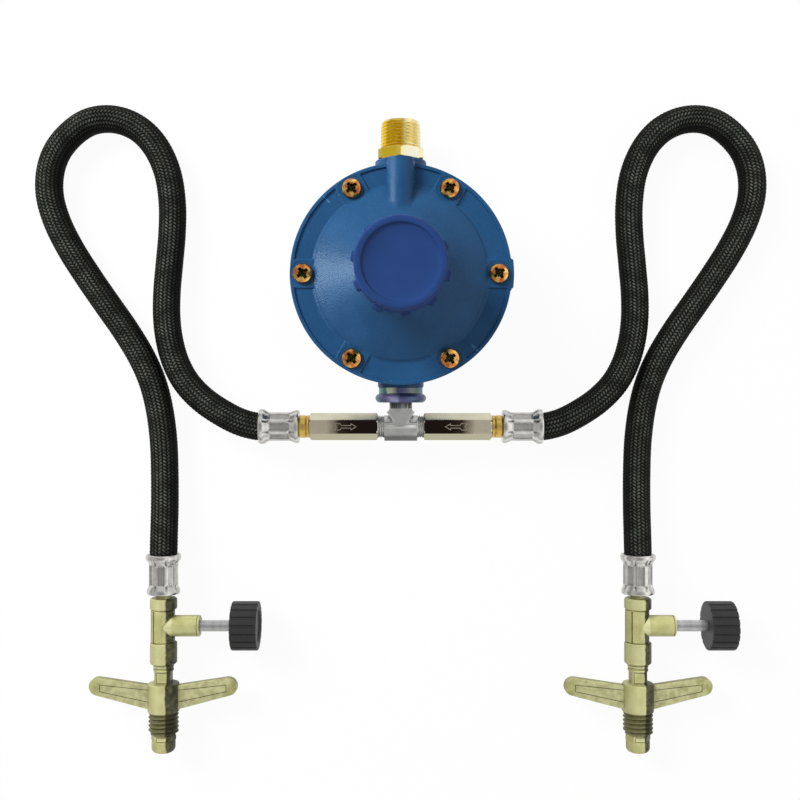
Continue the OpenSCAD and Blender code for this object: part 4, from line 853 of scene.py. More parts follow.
def nickel_plate(side, name):
    """Cream nickel, with painted shade on the flats that face -y and a painted reflection on the top flat,
    dark toward the tee and pale at its outer end.
    """
    nickel = Finish(f"nickel_plate_{name}", 1.0, 0.24)
    streaks = nickel.noise(420, 2, (0.08, 1, 1))
    tint = nickel.ramp(streaks, [(0.3, srgb(209, 203, 178)), (0.7, srgb(220, 216, 193))])
    # Painted shade on the flats that face -y.
    tint = nickel.mix(nickel.limit(nickel.facing(1), -0.75, -0.2, 0.85, 0.0), tint, srgb(172, 166, 138))
    reach = nickel.limit(nickel.part(0), side * 0.0265, side * 0.0445)
    wave = nickel.mix(0.16, reach, nickel.noise(260, 3), "ADD")
    mirrored = nickel.ramp(wave, [
        (0.10, srgb(50, 38, 34)), (0.42, srgb(74, 62, 55)), (0.62, srgb(186, 172, 150)),
        (0.82, srgb(250, 238, 212))])
    # The painted reflection goes on the flat that faces up.
    top = nickel.limit(nickel.facing(2), 0.90, 0.96)
    nickel.colour(nickel.mix(top, tint, mirrored))
    nickel.rough(nickel.noise(160, 2), 0.22, 0.3)
    nickel.bumps((streaks, 0.000004))
    return nickel.material


def engraving_pale():
    """Bare metal in the bottom of an engraved line."""
    cut = Finish("engraved_line", 1.0, 0.45)
    cut.colour(cut.ramp(cut.noise(900, 2), [(0.3, srgb(176, 166, 148)), (0.7, srgb(214, 206, 190))]))
    cut.bumps((cut.noise(2500, 2), 0.00004))
    return cut.material


ENGRAVING = engraving_pale()
ARROW = [(-6.2, 0), (-2.8, 2.0), (-2.8, 0.9), (1.9, 0.9), (2.7, 1.9), (6.2, 1.9), (4.9, 0), (6.2, -1.9),
         (2.7, -1.9), (1.9, -0.9), (-2.8, -0.9), (-2.8, -2.0)]


def inset_outline(points, inset):
    """An outline moved inward by inset, corner by corner."""
    count = len(points)
    area = sum(points[i][0] * points[(i + 1) % count][1] - points[(i + 1) % count][0] * points[i][1]
               for i in range(count))
    hand = 1 if area > 0 else -1
    moved = []
    for i in range(count):
        before = (Vector(points[i]) - Vector(points[i - 1])).normalized()
        after = (Vector(points[(i + 1) % count]) - Vector(points[i])).normalized()
        normals = [hand * Vector((-d.y, d.x)) for d in (before, after)]
        middle = (normals[0] + normals[1]).normalized()
        moved.append(Vector(points[i]) + middle * inset / max(0.35, middle.dot(normals[0])))
    return [tuple(p) for p in moved]


def outline_wall(points, width, low, high):
    """A closed wall that follows an outline, width thick."""
    inner = inset_outline(points, width)
    walls = ((points, low), (points, high), (inner, high), (inner, low))
    return loft([[(x, y, z) for x, y in ring] for ring, z in walls])


def check_shape(angles, r, z):
    """The hexagon outside, and plain rounds in the bore."""
    if r < 5.5:
        return np.full_like(angles, r)
    return np.minimum(r, polygon_radius(angles, CHECK_W, 6, np.pi / 6))


corner = CHECK_W / 2 / math.cos(math.pi / 6)
check_profile = [(4.2, 0.2), (5.6, 0), (corner - 0.75, 0), (corner - 0.1, 0.5), (corner + 0.05, 0.9),
                 (corner + 0.05, CHECK_L - 1.0), (corner - 0.1, CHECK_L - 0.6), (corner - 0.9, CHECK_L),
                 (5.2, CHECK_L), (4.9, CHECK_L - 0.3), (4.2, CHECK_L - 8)]
for side, name in SIDES:
    bar = mesh_of([turned(check_profile, 96, check_shape)], arm(side, CHECK_X0))
    arrow = [(side * (x + ARROW_X), y + ARM_Y) for x, y in ARROW]
    top_z = AXIS_Z + CHECK_W / 2
    groove = mesh_of([outline_wall(arrow, ARROW_LINE, top_z - ENGRAVE, top_z + 1)])
    groove.materials.append(ENGRAVING)
    bar.materials.append(nickel_plate(side, name))
    piece(carve(bar, groove), f"{name}_check_valve_body", None, "root", [f"{name}_check_body"],
          crease=25)

# Hose tails at the check valves.
# Turned brass, a little tarnished, with a plain collar between the hexagon and the ferrule
# and a barbed stem that goes into the hose.
TAIL_X = 48.8
TAIL_COLLAR_L = 5.9
FERRULE_L = 21.5
TAIL_BORE = 2.8
BARBS = 5
BARB_STEP = 3.4


def tarnished_brass():
    brass = Finish("tarnished_brass", 0.9, 0.36)
    marks = brass.noise(420, 4)
    rings = brass.noise(900, 2, (1, 0.1, 0.1))
    tint = brass.ramp(marks, [
        (0.3, srgb(142, 104, 38)), (0.55, srgb(206, 164, 66)), (0.75, srgb(232, 200, 104))])
    brass.colour(brass.mix(brass.edges(0.51, 0.58), tint, srgb(236, 206, 120)))
    brass.rough(marks, 0.28, 0.46)
    brass.bumps((rings, 0.00006))
    return brass.material


TAIL_BRASS = tarnished_brass()
tail_end = TAIL_COLLAR_L + FERRULE_L - 1.5
tail_profile = [(TAIL_BORE, -8), (5.0, -8), (5.0, 0), (5.7, 0.1), (6.1, 0.6), (6.1, 1.5), (5.75, 1.75),
                (5.75, 2.1), (6.1, 2.4), (6.1, TAIL_COLLAR_L - 0.8), (5.6, TAIL_COLLAR_L - 0.1),
                (4.3, TAIL_COLLAR_L)]
for barb in range(BARBS):
    start = TAIL_COLLAR_L + 2 + BARB_STEP * barb
    tail_profile += [(3.7, start), (4.3, start + 0.05), (3.8, start + 2.8), (3.7, start + 3.0)]
tail_profile += [(3.7, tail_end), (TAIL_BORE, tail_end)]
for side, name in SIDES:
    piece(mesh_of([turned(tail_profile, 72)], arm(side, TAIL_X)), f"{name}_check_tail", TAIL_BRASS, "root",
          [f"{name}_inner_tail"], crease=30)

# Ferrules.
# Bright plated steel sleeves, pressed onto the hose by eight dies. Each die leaves a flat in the
# waist with a ridge beside it, and the two ends flare out where the dies stop.
WAIST_W = 13.8
RIDGE_R = 7.85
FLARE_R = 8.9
MOUTH_R = 9.4
DIES = 8
DIE_STEP = 360 / DIES
DIE_LOW, DIE_HIGH = 4.4, 16.4
DENT = 0.5
FERRULE_STEPS = 144
FERRULE_END_X = 54.7
TAP_X, TAP_Y, TAP_Z = 128.9, -172.6, 13.3
TAP_NECK = 2.3


def pressed_steel():
    steel = Finish("pressed_steel", 1.0, 0.24)
    smears = steel.noise(330, 3)
    tint = steel.ramp(smears, [(0.3, srgb(212, 210, 206)), (0.7, srgb(238, 237, 234))])
    # Painted reflection: bright and dark bands by how far the surface faces up or down.
    sheen_bands = steel.ramp(steel.math("ABSOLUTE", steel.facing(2), 0), [
        (0.10, srgb(210, 209, 206)), (0.40, srgb(136, 134, 130)), (0.56, srgb(246, 245, 242)),
        (0.72, srgb(164, 162, 157)), (0.88, srgb(246, 245, 242)), (1.0, srgb(222, 221, 217))])
    tint = steel.mix(0.6, tint, sheen_bands, "MULTIPLY")
    # Painted shade in the hollows.
    steel.colour(steel.mix(steel.hollows(0.45, 0.49), tint, srgb(96, 94, 90)))
    steel.rough(steel.noise(200, 2), 0.26, 0.32)
    steel.bumps((steel.noise(110, 2), 0.00005))
    return steel.material


def crimped(angles, r, z):
    """A die mark on each of eight sides, deepest in the waist and gone at the flares, and a dent
    between each two marks where the flares begin."""
    if r < 6.9:
        return np.full_like(angles, r)
    z = np.array(z)
    flat = polygon_radius(angles, WAIST_W, DIES, np.pi / DIES)
    from_side = np.abs((np.degrees(angles) + DIE_STEP / 2) % DIE_STEP - DIE_STEP / 2)
    die = (1 - ease(from_side, 12.0, 15.5)) * ease(z, DIE_LOW, DIE_LOW + 1.2)
    die = die * (1 - ease(z, DIE_HIGH - 1.2, DIE_HIGH))
    dent = DENT * (1 - ease(np.abs(from_side - DIE_STEP / 2), 2, 6)) * ease(z, 1.6, 3.2)
    dent = dent * (1 - ease(z, 18.4, 19.8)) * (1 - ease(z, 4.6, 6) + ease(z, 15, 16.4))
    return np.minimum(r, r + (flat - r) * die) - dent


ferrule_profile = [(4.4, 0), (FLARE_R - 0.6, 0), (FLARE_R - 0.15, 0.2), (FLARE_R, 0.6), (FLARE_R, 1.5),
                   (FLARE_R - 0.1, 2.1), (8.5, 2.9), (8.05, 3.8)]
ferrule_profile += [(RIDGE_R, z) for z in np.arange(4.4, 16.5, 0.4)]
ferrule_profile += [(8.1, 17.1), (8.75, 18.0), (9.2, 18.7), (MOUTH_R, 19.4), (MOUTH_R, 20.6),
                    (MOUTH_R - 0.2, 21.2), (MOUTH_R - 0.6, FERRULE_L), (8.2, FERRULE_L), (7.7, 21.0),
                    (6.6, 15.5), (6.55, 1.4), (4.4, 1.4)]


def tap(side):
    """Lays a turned shape along the left (-1) or right (1) tap, away from its hose."""
    return Matrix.Translation((side * TAP_X, TAP_Y, TAP_Z)) @ Matrix.Rotation(math.radians(90), 4, "X")


FERRULE_STEEL = pressed_steel()
for side, name in SIDES:
    at_tap = tap(side) @ Matrix.Translation((0, 0, -TAP_NECK)) @ Matrix.Rotation(math.radians(180), 4, "X")
    for place, end, node in ((arm(side, FERRULE_END_X), "check", "inner"), (at_tap, "tap", "outer")):
        piece(mesh_of([turned(ferrule_profile, FERRULE_STEPS, crimped)], place), f"{name}_{end}_ferrule",
              FERRULE_STEEL, "root", [f"{name}_{node}_ferrule"], crease=40)

# Cylinder taps.
# A turned brass body with two collars and a side boss for the spindle, in a matt olive tone.
# A short plain neck joins it to the ferrule.
TAP_R = 6.5
COLLAR_R = 7.25
BOSS_R = 5.75
BOSS_L = 20
SPINDLE_DROP = 15.2
TAP_END = 35.8
BARREL_LOW, BARREL_HIGH = 6.3, 23.7
BARREL_BACK = 0.4
BARREL_LINE = -4.3
LINE_HALF = 0.25


def olive_brass(name, centre=None, reach=9.0, dark_span=None, worn=0.0):
    """Matt olive brass, with painted shade on faces toward -x, on near upright walls and in hollows. centre
    gives it a painted dark reflection, mottled, right of that x, out to reach millimetres; dark_span is a
    stretch of y in millimetres darkened with painted shade; worn, 0 to 1, is how dark it goes in mottled
    patches, partly its own mottling and partly painted shade."""
    brass = Finish(name, 0.45, 0.44)
    cloud = brass.noise(150, 3)
    grain = brass.noise(1300, 3)
    tint = brass.ramp(cloud, [(0.3, srgb(176, 174, 108)), (0.7, srgb(206, 204, 144))])
    tint = brass.mix(brass.limit(grain, 0.5, 0.75, 0, 0.4), tint, srgb(214, 212, 156))
    tint = brass.mix(brass.edges(0.52, 0.6), tint, srgb(222, 220, 168))
    # Darker mottled patches: partly the brass's own mottling, partly painted shade on wings that face up into
    # the light.
    if worn:
        patches = brass.limit(brass.noise(260, 5), 0.42, 0.62, worn * 0.45, worn)
        tint = brass.mix(patches, tint, srgb(122, 120, 66))
    # Painted shade on faces that turn toward -x.
    tint = brass.mix(brass.limit(brass.facing(0), -0.95, -0.2, 0.62, 0.0), tint, srgb(96, 94, 54))
    # Painted shade on walls that stand near upright.
    upright_wall = brass.limit(brass.math("ABSOLUTE", brass.facing(2), 0), 0.12, 0.42, 0.42, 0.0)
    tint = brass.mix(upright_wall, tint, srgb(60, 57, 34))
    # Painted shade in sunk lines and inner corners.
    tint = brass.mix(brass.hollows(), tint, srgb(66, 62, 38))
    # Painted reflection: a dark, mottled band on the side right of centre.
    if centre is not None:
        dark_side_reflection = brass.ramp(brass.noise(420, 4), [(0.35, srgb(52, 48, 33)), (0.65, srgb(92, 88, 60))])
        wander = brass.limit(brass.noise(300, 2), 0.3, 0.7, -0.0003, 0.0003)
        across = brass.plus(brass.part(0), wander)
        inner = brass.limit(across, centre + 0.0022, centre + 0.0028)
        outer = brass.limit(brass.part(0), centre + (reach - 0.3) * MM, centre + reach * MM, 1.0, 0.0)
        tint = brass.mix(brass.times(inner, outer), tint, dark_side_reflection)
    # Painted shade over the threaded stretch.
    if dark_span:
        along = brass.part(1)
        low = brass.limit(along, dark_span[0] * MM, (dark_span[0] + 0.8) * MM)
        high = brass.limit(along, (dark_span[1] - 0.8) * MM, dark_span[1] * MM, 1.0, 0.0)
        tint = brass.mix(brass.times(brass.times(low, high), 0.74), tint, srgb(56, 50, 32))
    brass.colour(tint)
    brass.rough(cloud, 0.36, 0.5)
    brass.bumps((grain, 0.00005), (cloud, 0.0001))
    return brass.material


def groove_shade():
    """Painted shade: a dark colour in scribed lines, in the joint round the boss and along the edges of
    flats.
    """
    line_shade = Finish("groove_shade", 0.3, 0.6)
    line_shade.colour(line_shade.ramp(line_shade.noise(900, 2), [(0.3, srgb(50, 46, 28)), (0.7, srgb(84, 80, 50))]))
    line_shade.bumps((line_shade.noise(2000, 2), 0.00003))
    return line_shade.material


def barrel(angles, r, z):
    """The barrel between the collars stands back on the boss side."""
    if not BARREL_LOW < z < BARREL_HIGH:
        return np.full_like(angles, r)
    return r - BARREL_BACK * np.cos(angles)


OLIVE_BRASS, GROOVE_SHADE = olive_brass("olive_brass"), groove_shade()
TAP_BRASS = {side: olive_brass(f"{name}_tap_brass", side * TAP_X * MM) for side, name in SIDES}
body_profile = [(0, 0), (COLLAR_R - 0.7, 0), (COLLAR_R, 0.6), (COLLAR_R, 5.5), (COLLAR_R - 0.5, 6.0),
                (TAP_R - 0.35, 6.05), (TAP_R - 0.35, 6.4), (TAP_R, 6.6), (TAP_R, 12), (TAP_R, 18),
                (TAP_R, 23.4), (TAP_R - 0.35, 23.6), (TAP_R - 0.35, 23.95), (COLLAR_R - 0.4, 24.0),
                (COLLAR_R, 24.4), (COLLAR_R, 34.9), (COLLAR_R - 0.9, TAP_END), (5.2, TAP_END),
                (5.0, TAP_END - 1.5), (0, TAP_END - 1.5)]
seam_square = [(BARREL_LINE + across, up) for across, up in (
    (-LINE_HALF, 4.8), (LINE_HALF, 4.8), (LINE_HALF, 8), (-LINE_HALF, 8))]
box_faces = [(0, 1, 2, 3), (4, 5, 6, 7), (0, 1, 5, 4), (1, 2, 6, 5), (2, 3, 7, 6), (3, 0, 4, 7)]
boss_seam = [(0, 0.2), (6.45, 0.2), (6.45, 5.3), (BOSS_R + 0.15, 6.6), (0, 6.6)]
boss_profile = [(0, 0), (6.1, 0), (6.1, 4.7), (BOSS_R, 6.0), (BOSS_R, BOSS_L - 1.4),
                (BOSS_R - 0.3, BOSS_L - 1.3), (BOSS_R - 0.3, BOSS_L - 1.0), (BOSS_R, BOSS_L - 0.9),
                (BOSS_R - 0.1, BOSS_L - 0.25), (BOSS_R - 0.5, BOSS_L), (4.25, BOSS_L),
                (4.25, BOSS_L - 8), (0, BOSS_L - 8)]
neck = [(2.5, 5), (4.0, 5), (4.0, 0.1), (4.0, -0.9), (3.8, -1.0), (3.8, -TAP_NECK), (3.7, -TAP_NECK - 20),
        (2.5, -TAP_NECK - 20)]


def on_spindle(side, x):
    """Lays a turned shape along a tap's spindle, its foot x from the barrel's middle."""
    return tap(side) @ Matrix.Translation((x, 0, SPINDLE_DROP)) @ Matrix.Rotation(math.radians(90), 4, "Y")


tap_pieces = {-1: [], 1: []}
for side, name in SIDES:
    body = mesh_of([turned(body_profile, 240, barrel)], tap(side))
    body.materials.append(TAP_BRASS[side])
    seams = (mesh_of([([(x, y, z) for z in (6.6, 23.4) for x, y in seam_square], box_faces)], tap(side)),
             mesh_of([turned(boss_seam, 96)], on_spindle(side, 0)))
    # Each groove carries painted shade.
    for seam in seams:
        seam.materials.append(GROOVE_SHADE)
        body = carve(body, seam)
    boss = mesh_of([turned(boss_profile, 96)], on_spindle(side, 0))
    boss.materials.append(OLIVE_BRASS)
    tap_pieces[side].append(piece(
        carve(body, boss, "UNION"), f"{name}_tap_casting", None, "root", [f"{name}_tap_body"],
        crease=30))
    tap_pieces[side].append(piece(mesh_of([turned(neck, 48)], tap(side)), f"{name}_tap_tail", OLIVE_BRASS,
                                  "root", [f"{name}_outer_tail"], crease=30))

# Tap spindles and knobs.
# A ground steel spindle comes out of the gland and carries a knob of dark grey plastic, moulded
# with narrow grip grooves and a dished end. The two turn together.
SPINDLE_R = 3.05
SPINDLE_X0 = 9.0
SPINDLE_X1 = 46.9
KNOB_X = 37.4
KNOB_R = 13.15
KNOB_L = 14.3
KNOB_GROOVES = 18
GROOVE_HALF = 0.55
GROOVE_DEPTH = 0.75


def ground_steel():
    steel = Finish("ground_steel", 0.9, 0.26)
    rings = steel.noise(500, 2, (1, 0.1, 0.1))
    steel.colour(steel.ramp(rings, [(0.3, srgb(178, 178, 178)), (0.7, srgb(200, 200, 200))]))
    steel.rough(rings, 0.32, 0.4)
    steel.bumps((rings, 0.000005))
    return steel.material


def knob_plastic():
    plastic = Finish("knob_plastic", 0.0, 0.5)
    grain = plastic.noise(1700, 3)
    plastic.colour(plastic.mix(plastic.edges(0.53, 0.62), plastic.ramp(
        grain, [(0.3, srgb(36, 36, 36)), (0.7, srgb(47, 47, 47))]), srgb(54, 54, 54)))
    plastic.rough(grain, 0.42, 0.6)
    plastic.shader.inputs["Specular IOR Level"].default_value = 0.3
    plastic.bumps((grain, 0.00008))
    return plastic.material


def grooved(angles, r, z):
    """The knob's rim with its grip grooves."""
    if r < KNOB_R - 1.75:
        return np.full_like(angles, r)
    step = 2 * np.pi / KNOB_GROOVES
    across = np.abs((angles + step / 2) % step - step / 2) * KNOB_R
    return r - GROOVE_DEPTH * (1 - ease(across, GROOVE_HALF * 0.55, GROOVE_HALF * 1.2))


STEEL, KNOB = ground_steel(), knob_plastic()
rod = [(0, SPINDLE_X0), (SPINDLE_R, SPINDLE_X0), (SPINDLE_R, 21), (SPINDLE_R, 37), (SPINDLE_R, SPINDLE_X1),
       (0, SPINDLE_X1)]
knob_profile = [(0, 9.6), (SPINDLE_R, 9.6), (SPINDLE_R, 0), (5, 0), (11.4, 0), (KNOB_R - 0.45, 0),
                (KNOB_R - 0.15, 0.15), (KNOB_R, 0.45), (KNOB_R, 3), (KNOB_R, 7), (KNOB_R, 11),
                (KNOB_R, KNOB_L - 0.45), (KNOB_R - 0.15, KNOB_L - 0.15), (KNOB_R - 0.45, KNOB_L),
                (KNOB_R - 1.7, KNOB_L), (KNOB_R - 3.3, KNOB_L), (KNOB_R - 4.0, KNOB_L - 0.3),
                (KNOB_R - 4.8, KNOB_L - 1.2), (0, KNOB_L - 1.2)]
for side, name in SIDES:
    tap_pieces[side].append(piece(mesh_of([turned(rod, 48)], on_spindle(side, 0)), f"{name}_tap_stem", STEEL,
                                  f"{name}_spindle", [f"{name}_tap_spindle"]))
    tap_pieces[side].append(piece(mesh_of([turned(knob_profile, 216, grooved)], on_spindle(side, KNOB_X)),
                                  f"{name}_tap_handwheel", KNOB, f"{name}_spindle", [f"{name}_tap_knob"],
                                  crease=38))

# Cylinder nipples.
# A brass tube screwed into the tap, with four spanner flats, a hexagon and a rounded nose that
# seals in the cylinder valve. The wing nut turns on it.
NIPPLE_R = 5.5
NIPPLE_BORE = 2.5
FLAT_HALF = 4.3
FLAT_LOW, FLAT_HIGH = 39.35, 45.9
NOSE_HEX = 11.78
NOSE_HEX_LOW, NOSE_HEX_HIGH = 73.9, 77.3
NOSE_ROUND = 2.6
FLAT_EDGE = [(-3.05, 39.7), (3.05, 39.7), (3.05, 45.7), (-3.05, 45.7)]
HEX_EDGE = [(-2.7, 74.3), (2.7, 74.3), (2.7, 76.9), (-2.7, 76.9)]
EDGE_DEPTH = 0.15


def nipple_shape(angles, r, z):
    """Spanner flats and hexagon on the tube, by their place along it."""
    if r <= 4.8:
        return np.full_like(angles, r)
    if FLAT_LOW < z < FLAT_HIGH:
        return np.minimum(r, polygon_radius(angles, 2 * FLAT_HALF, 4, np.pi / 4))
    if NOSE_HEX_LOW < z < NOSE_HEX_HIGH:
        return np.minimum(r, polygon_radius(angles, NOSE_HEX, 6))
    return np.full_like(angles, r)


nose = [(6.4 - NOSE_ROUND * (1 - math.cos(a)), 80.9 + NOSE_ROUND * math.sin(a))
        for a in np.radians([0, 18, 36, 54, 72, 90])]
nipple_profile = [(NIPPLE_BORE, 27.8), (4.8, 27.8), (4.8, TAP_END), (5.0, TAP_END), (5.0, 36.2),
                  (NIPPLE_R, 36.35), (NIPPLE_R, 37.3), (5.0, 37.45), (5.0, 38.2), (NIPPLE_R, 38.4),
                  (NIPPLE_R, 39.3), (NIPPLE_R, 39.4), (NIPPLE_R, 42.5), (NIPPLE_R, 45.85), (NIPPLE_R, 45.95),
                  (NIPPLE_R, 60), (NIPPLE_R, 73.8), (6.3, 74.0), (6.8, 74.5), (6.8, 76.7), (6.3, 77.2),
                  (6.4, 77.6)] + nose + [(NIPPLE_BORE, 83.5)]


def upright(side):
    """Lays a flat outline in the tap's middle plane, its y along the tap."""
    return tap(side) @ Matrix.Rotation(math.radians(90), 4, "X")


def scribed(mesh, outline, width, height, depth, place):
    """The mesh with an outline cut into both its faces, at height above and below the middle."""
    for low, high in ((height - depth, height + 1), (-height - 1, depth - height)):
        # The lines carry painted shade.
        line = mesh_of([outline_wall(outline, width, low, high)], place)
        line.materials.append(GROOVE_SHADE)
        mesh = carve(mesh, line)
    return mesh


for side, name in SIDES:
    nipple = mesh_of([turned(nipple_profile, 96, nipple_shape)], tap(side))
    nipple.materials.append(TAP_BRASS[side])
    nipple = scribed(nipple, FLAT_EDGE, 0.3, FLAT_HALF, EDGE_DEPTH, upright(side))
    nipple = scribed(nipple, HEX_EDGE, 0.28, NOSE_HEX / 2, EDGE_DEPTH, upright(side))
    tap_pieces[side].append(piece(nipple, f"{name}_nose_nipple", None, "root", [f"{name}_cylinder_nipple"],
                                  crease=28))

# Wing nuts.
# Cast brass: a turned hub with a coarse male thread for the cylinder valve, and two wings swept
# back toward the tap. A fine line round a long panel is cut into both faces of each wing.
HUB_R = 8.5
HUB_0, HUB_1 = 46.1, 61.8
NUT_R = 8.05
NUT_END = 73.6
NUT_BORE = 5.48
NUT_PITCH = 2.3
NUT_DEPTH = 1.15
NUT_THREAD_LOW, NUT_THREAD_HIGH = 62.0, 74.2
# The threaded stretch of y that takes painted shade.
DARK_SPAN = (-246.4, -234.6)
WING_REACH = 40.2
WING_TIP_R = 4.9
WING_RISE = 6.0
WING_ROOT = 13.2
WING_T = 4.4
PANEL = [(7.2, 49.6), (34.4, 46.7), (34.4, 50.6), (7.2, 56.5)]
PANEL_LINE = 0.32
PANEL_DEPTH = 0.3


def nut_shape(angles, r, z):
    """The male thread past the hub, and plain rounds elsewhere."""
    if z > HUB_1 + 0.7 and r > 6.5:
        return thread_radius(angles, r, z, NUT_PITCH, NUT_DEPTH, NUT_THREAD_LOW, NUT_THREAD_HIGH)
    return np.full_like(angles, r)


def plate(outline, thickness):
    """A flat plate with rounded edges."""
    levels = [(0.0, thickness / 2 - 0.5), (0.15, thickness / 2 - 0.15), (0.5, thickness / 2)]
    levels = levels[::-1] + [(d, -h) for d, h in levels]
    rings = [[(x, y, h) for x, y in inset_outline(outline, d)] for d, h in levels]
    verts, faces = loft(rings, closed=False)
    count = len(outline)
    return verts, faces + [tuple(range(count)), tuple(range(len(verts) - count, len(verts)))]


def wing_outline(hand):
    """A wing from root to round tip, on the left (-1) or right (1) of the hub."""
    mid = (HUB_0 + HUB_1) / 2
    tip_x, tip_y = WING_REACH - WING_TIP_R, mid - WING_RISE
    slope = math.degrees(math.atan2(WING_RISE - WING_ROOT / 2 + WING_TIP_R, tip_x - 7))
    low = math.degrees(math.atan2(WING_RISE + WING_ROOT / 2 - WING_TIP_R, tip_x - 7))
    arc = [(tip_x + WING_TIP_R * math.cos(a), tip_y + WING_TIP_R * math.sin(a))
           for a in np.radians(np.linspace(-90 - slope, 90 - low, 15))]
    outline = [(6.5, mid - WING_ROOT / 2)] + arc + [(6.5, mid + WING_ROOT / 2)]
    return [(hand * x, y) for x, y in outline]


thread_z = [(NUT_R, z) for z in np.arange(62.6, 72.6, NUT_PITCH / 10)]
nut_profile = [(NUT_BORE, HUB_0), (HUB_R - 0.9, HUB_0), (HUB_R - 0.2, HUB_0 + 0.3), (HUB_R, HUB_0 + 0.9),
               (HUB_R, HUB_1 - 0.6), (HUB_R - 0.6, HUB_1), (NUT_R - 1.1, HUB_1 + 0.05),
               (NUT_R - 1.1, HUB_1 + 0.65)] + thread_z
nut_profile += [(NUT_R - 0.5, 73.0), (NUT_R - 1.1, NUT_END), (NUT_BORE, NUT_END)]
# The wings take a darker mottled copy of the brass: painted shade over their own mottling.
WING_BRASS = olive_brass("wing_brass", worn=0.55)
for side, name in SIDES:
    nut = mesh_of([turned(nut_profile, 96, nut_shape)], tap(side))
    nut.materials.append(olive_brass(f"{name}_nut_brass", side * TAP_X * MM, 8.6, DARK_SPAN))
    for hand in (-1, 1):
        wing = mesh_of([plate(wing_outline(hand), WING_T)], upright(side))
        wing.materials.append(WING_BRASS)
        panel = [(hand * x, y) for x, y in PANEL]
        wing = scribed(wing, panel, PANEL_LINE, WING_T / 2, PANEL_DEPTH, upright(side))
        nut = carve(nut, wing, "UNION")
    tap_pieces[side].append(piece(nut, f"{name}_wing_nut_casting", None, f"{name}_nut", [f"{name}_wing_nut"],
                                  crease=30))

# Hoses.
# Rubber hose under a black textile braid, 20 strands each way, each passing over two and under
# two. It leaves the ferrule straight, loops round on the table and comes back down to the tap.
HOSE_D = 15.0
SQUEEZED_R = 6.4
SQUEEZED_L, SWELL_END = 14, 22
HOSE_BORE = 4.75
STRANDS = 20
TURNS_AHEAD = 4000
BRAID_PITCH = 37
BRAID_DEPTH = 0.4
HOSE_ROUTE = [
    (56, -79.4, 18), (70, -79.4, 18), (77, -79.4, 18), (87, -76.8, 17.6), (98, -71.2, 16.4),
    (108, -64.3, 14.8), (116.5, -55.5, 13.2), (122.5, -45, 11.6), (126.3, -33, 10.2),
    (128.2, -20, 8.8), (128.3, -6, 7.9), (127, 10, 7.6), (125.6, 26, 7.6), (125.4, 42, 7.6),
    (127.6, 58, 7.6), (133, 71.5, 7.6), (141, 81.5, 7.6), (151, 87.4, 7.6), (162, 89.2, 7.6),
    (172.5, 86.8, 7.6), (182, 79.8, 7.6), (189, 70.5, 7.6), (192.6, 59, 7.6), (192.5, 46, 7.6),
    (188.3, 32, 7.6), (181, 17.5, 7.6), (171.8, 3, 7.6), (161.5, -12, 7.6), (151, -27, 7.6),
    (142, -42, 7.6), (136, -56, 7.6), (132.3, -71, 7.6), (130.2, -88, 7.6), (129.4, -106, 8.3),
    (129, -123, 10), (128.9, -137, 12), (128.9, -148.5, 13.3), (128.9, -155, 13.3),
    (128.9, -169, 13.3)]


def smooth_route(points, step):
    """Evenly spaced points on the smooth curve through a route."""
    ends = np.array([points[0]] + list(points) + [points[-1]], float)
    fine = []
    for i in range(1, len(ends) - 2):
        a, b, c, d = ends[i - 1:i + 3]
        for t in np.linspace(0, 1, 24, endpoint=False):
            fine.append(0.5 * (2 * b + (c - a) * t + (2 * a - 5 * b + 4 * c - d) * t ** 2
                               + (3 * b - a - 3 * c + d) * t ** 3))
    fine = np.array(fine + [ends[-1]])
    far = np.concatenate([[0], np.cumsum(np.linalg.norm(np.diff(fine, axis=0), axis=1))])
    even = np.linspace(0, far[-1], int(far[-1] / step) + 1)
    return np.stack([np.interp(even, far, fine[:, k]) for k in range(3)], 1), even


def braid(angles, along):
    """Height of the braid from 0 in its gaps to 1 on its crowns, two strands over and two under. a and b
    count the strands that run each way; b starts whole turns ahead, so neither is below zero."""
    a = angles * STRANDS / (2 * np.pi) + along / BRAID_PITCH * STRANDS
    b = angles * STRANDS / (2 * np.pi) - along / BRAID_PITCH * STRANDS + STRANDS * TURNS_AHEAD
    row, column = np.floor(a), np.floor(b)
    order = (row + column) % 4
    first = order < 2
    across = np.where(first, a - row, b - column)
    run = np.where(first, (order + b - column) / 2, (order - 2 + a - row) / 2)
    return np.sqrt(np.clip(1 - (2 * across - 1) ** 2, 0, 1)) * (0.45 + 0.55 * np.sin(np.pi * run))


def braid_cover():
    """Dull black yarn with painted light: a grey painted highlight on the crowns, and near black painted
    shade in the gaps and where the hose does not face up.
    """
    yarn = Finish("braid_cover", 0.0, 0.62)
    crown = yarn.nodes.new("ShaderNodeAttribute")
    crown.attribute_name = "crown"
    # Painted highlight on the crowns and painted shade in the gaps.
    tone = yarn.ramp(crown.outputs["Fac"], [
        (0.2, srgb(2, 2, 2)), (0.6, srgb(26, 27, 25)), (0.95, srgb(104, 107, 99))])
    cloud = yarn.limit(yarn.noise(150, 4), 0.36, 0.66)
    # Painted shade: all but the upward facing part goes near black.
    upward = yarn.limit(yarn.facing(2), 0.58, 0.99)
    faded = yarn.mix(yarn.times(cloud, 0.72), tone, srgb(16, 17, 16))
    yarn.colour(yarn.mix(upward, srgb(8, 8, 7), faded))
    yarn.rough(yarn.noise(1500, 2), 0.5, 0.72)
    yarn.bumps((yarn.noise(5200, 2), 0.00008))
    yarn.shader.inputs["Specular IOR Level"].default_value = 0.06
    return yarn.material


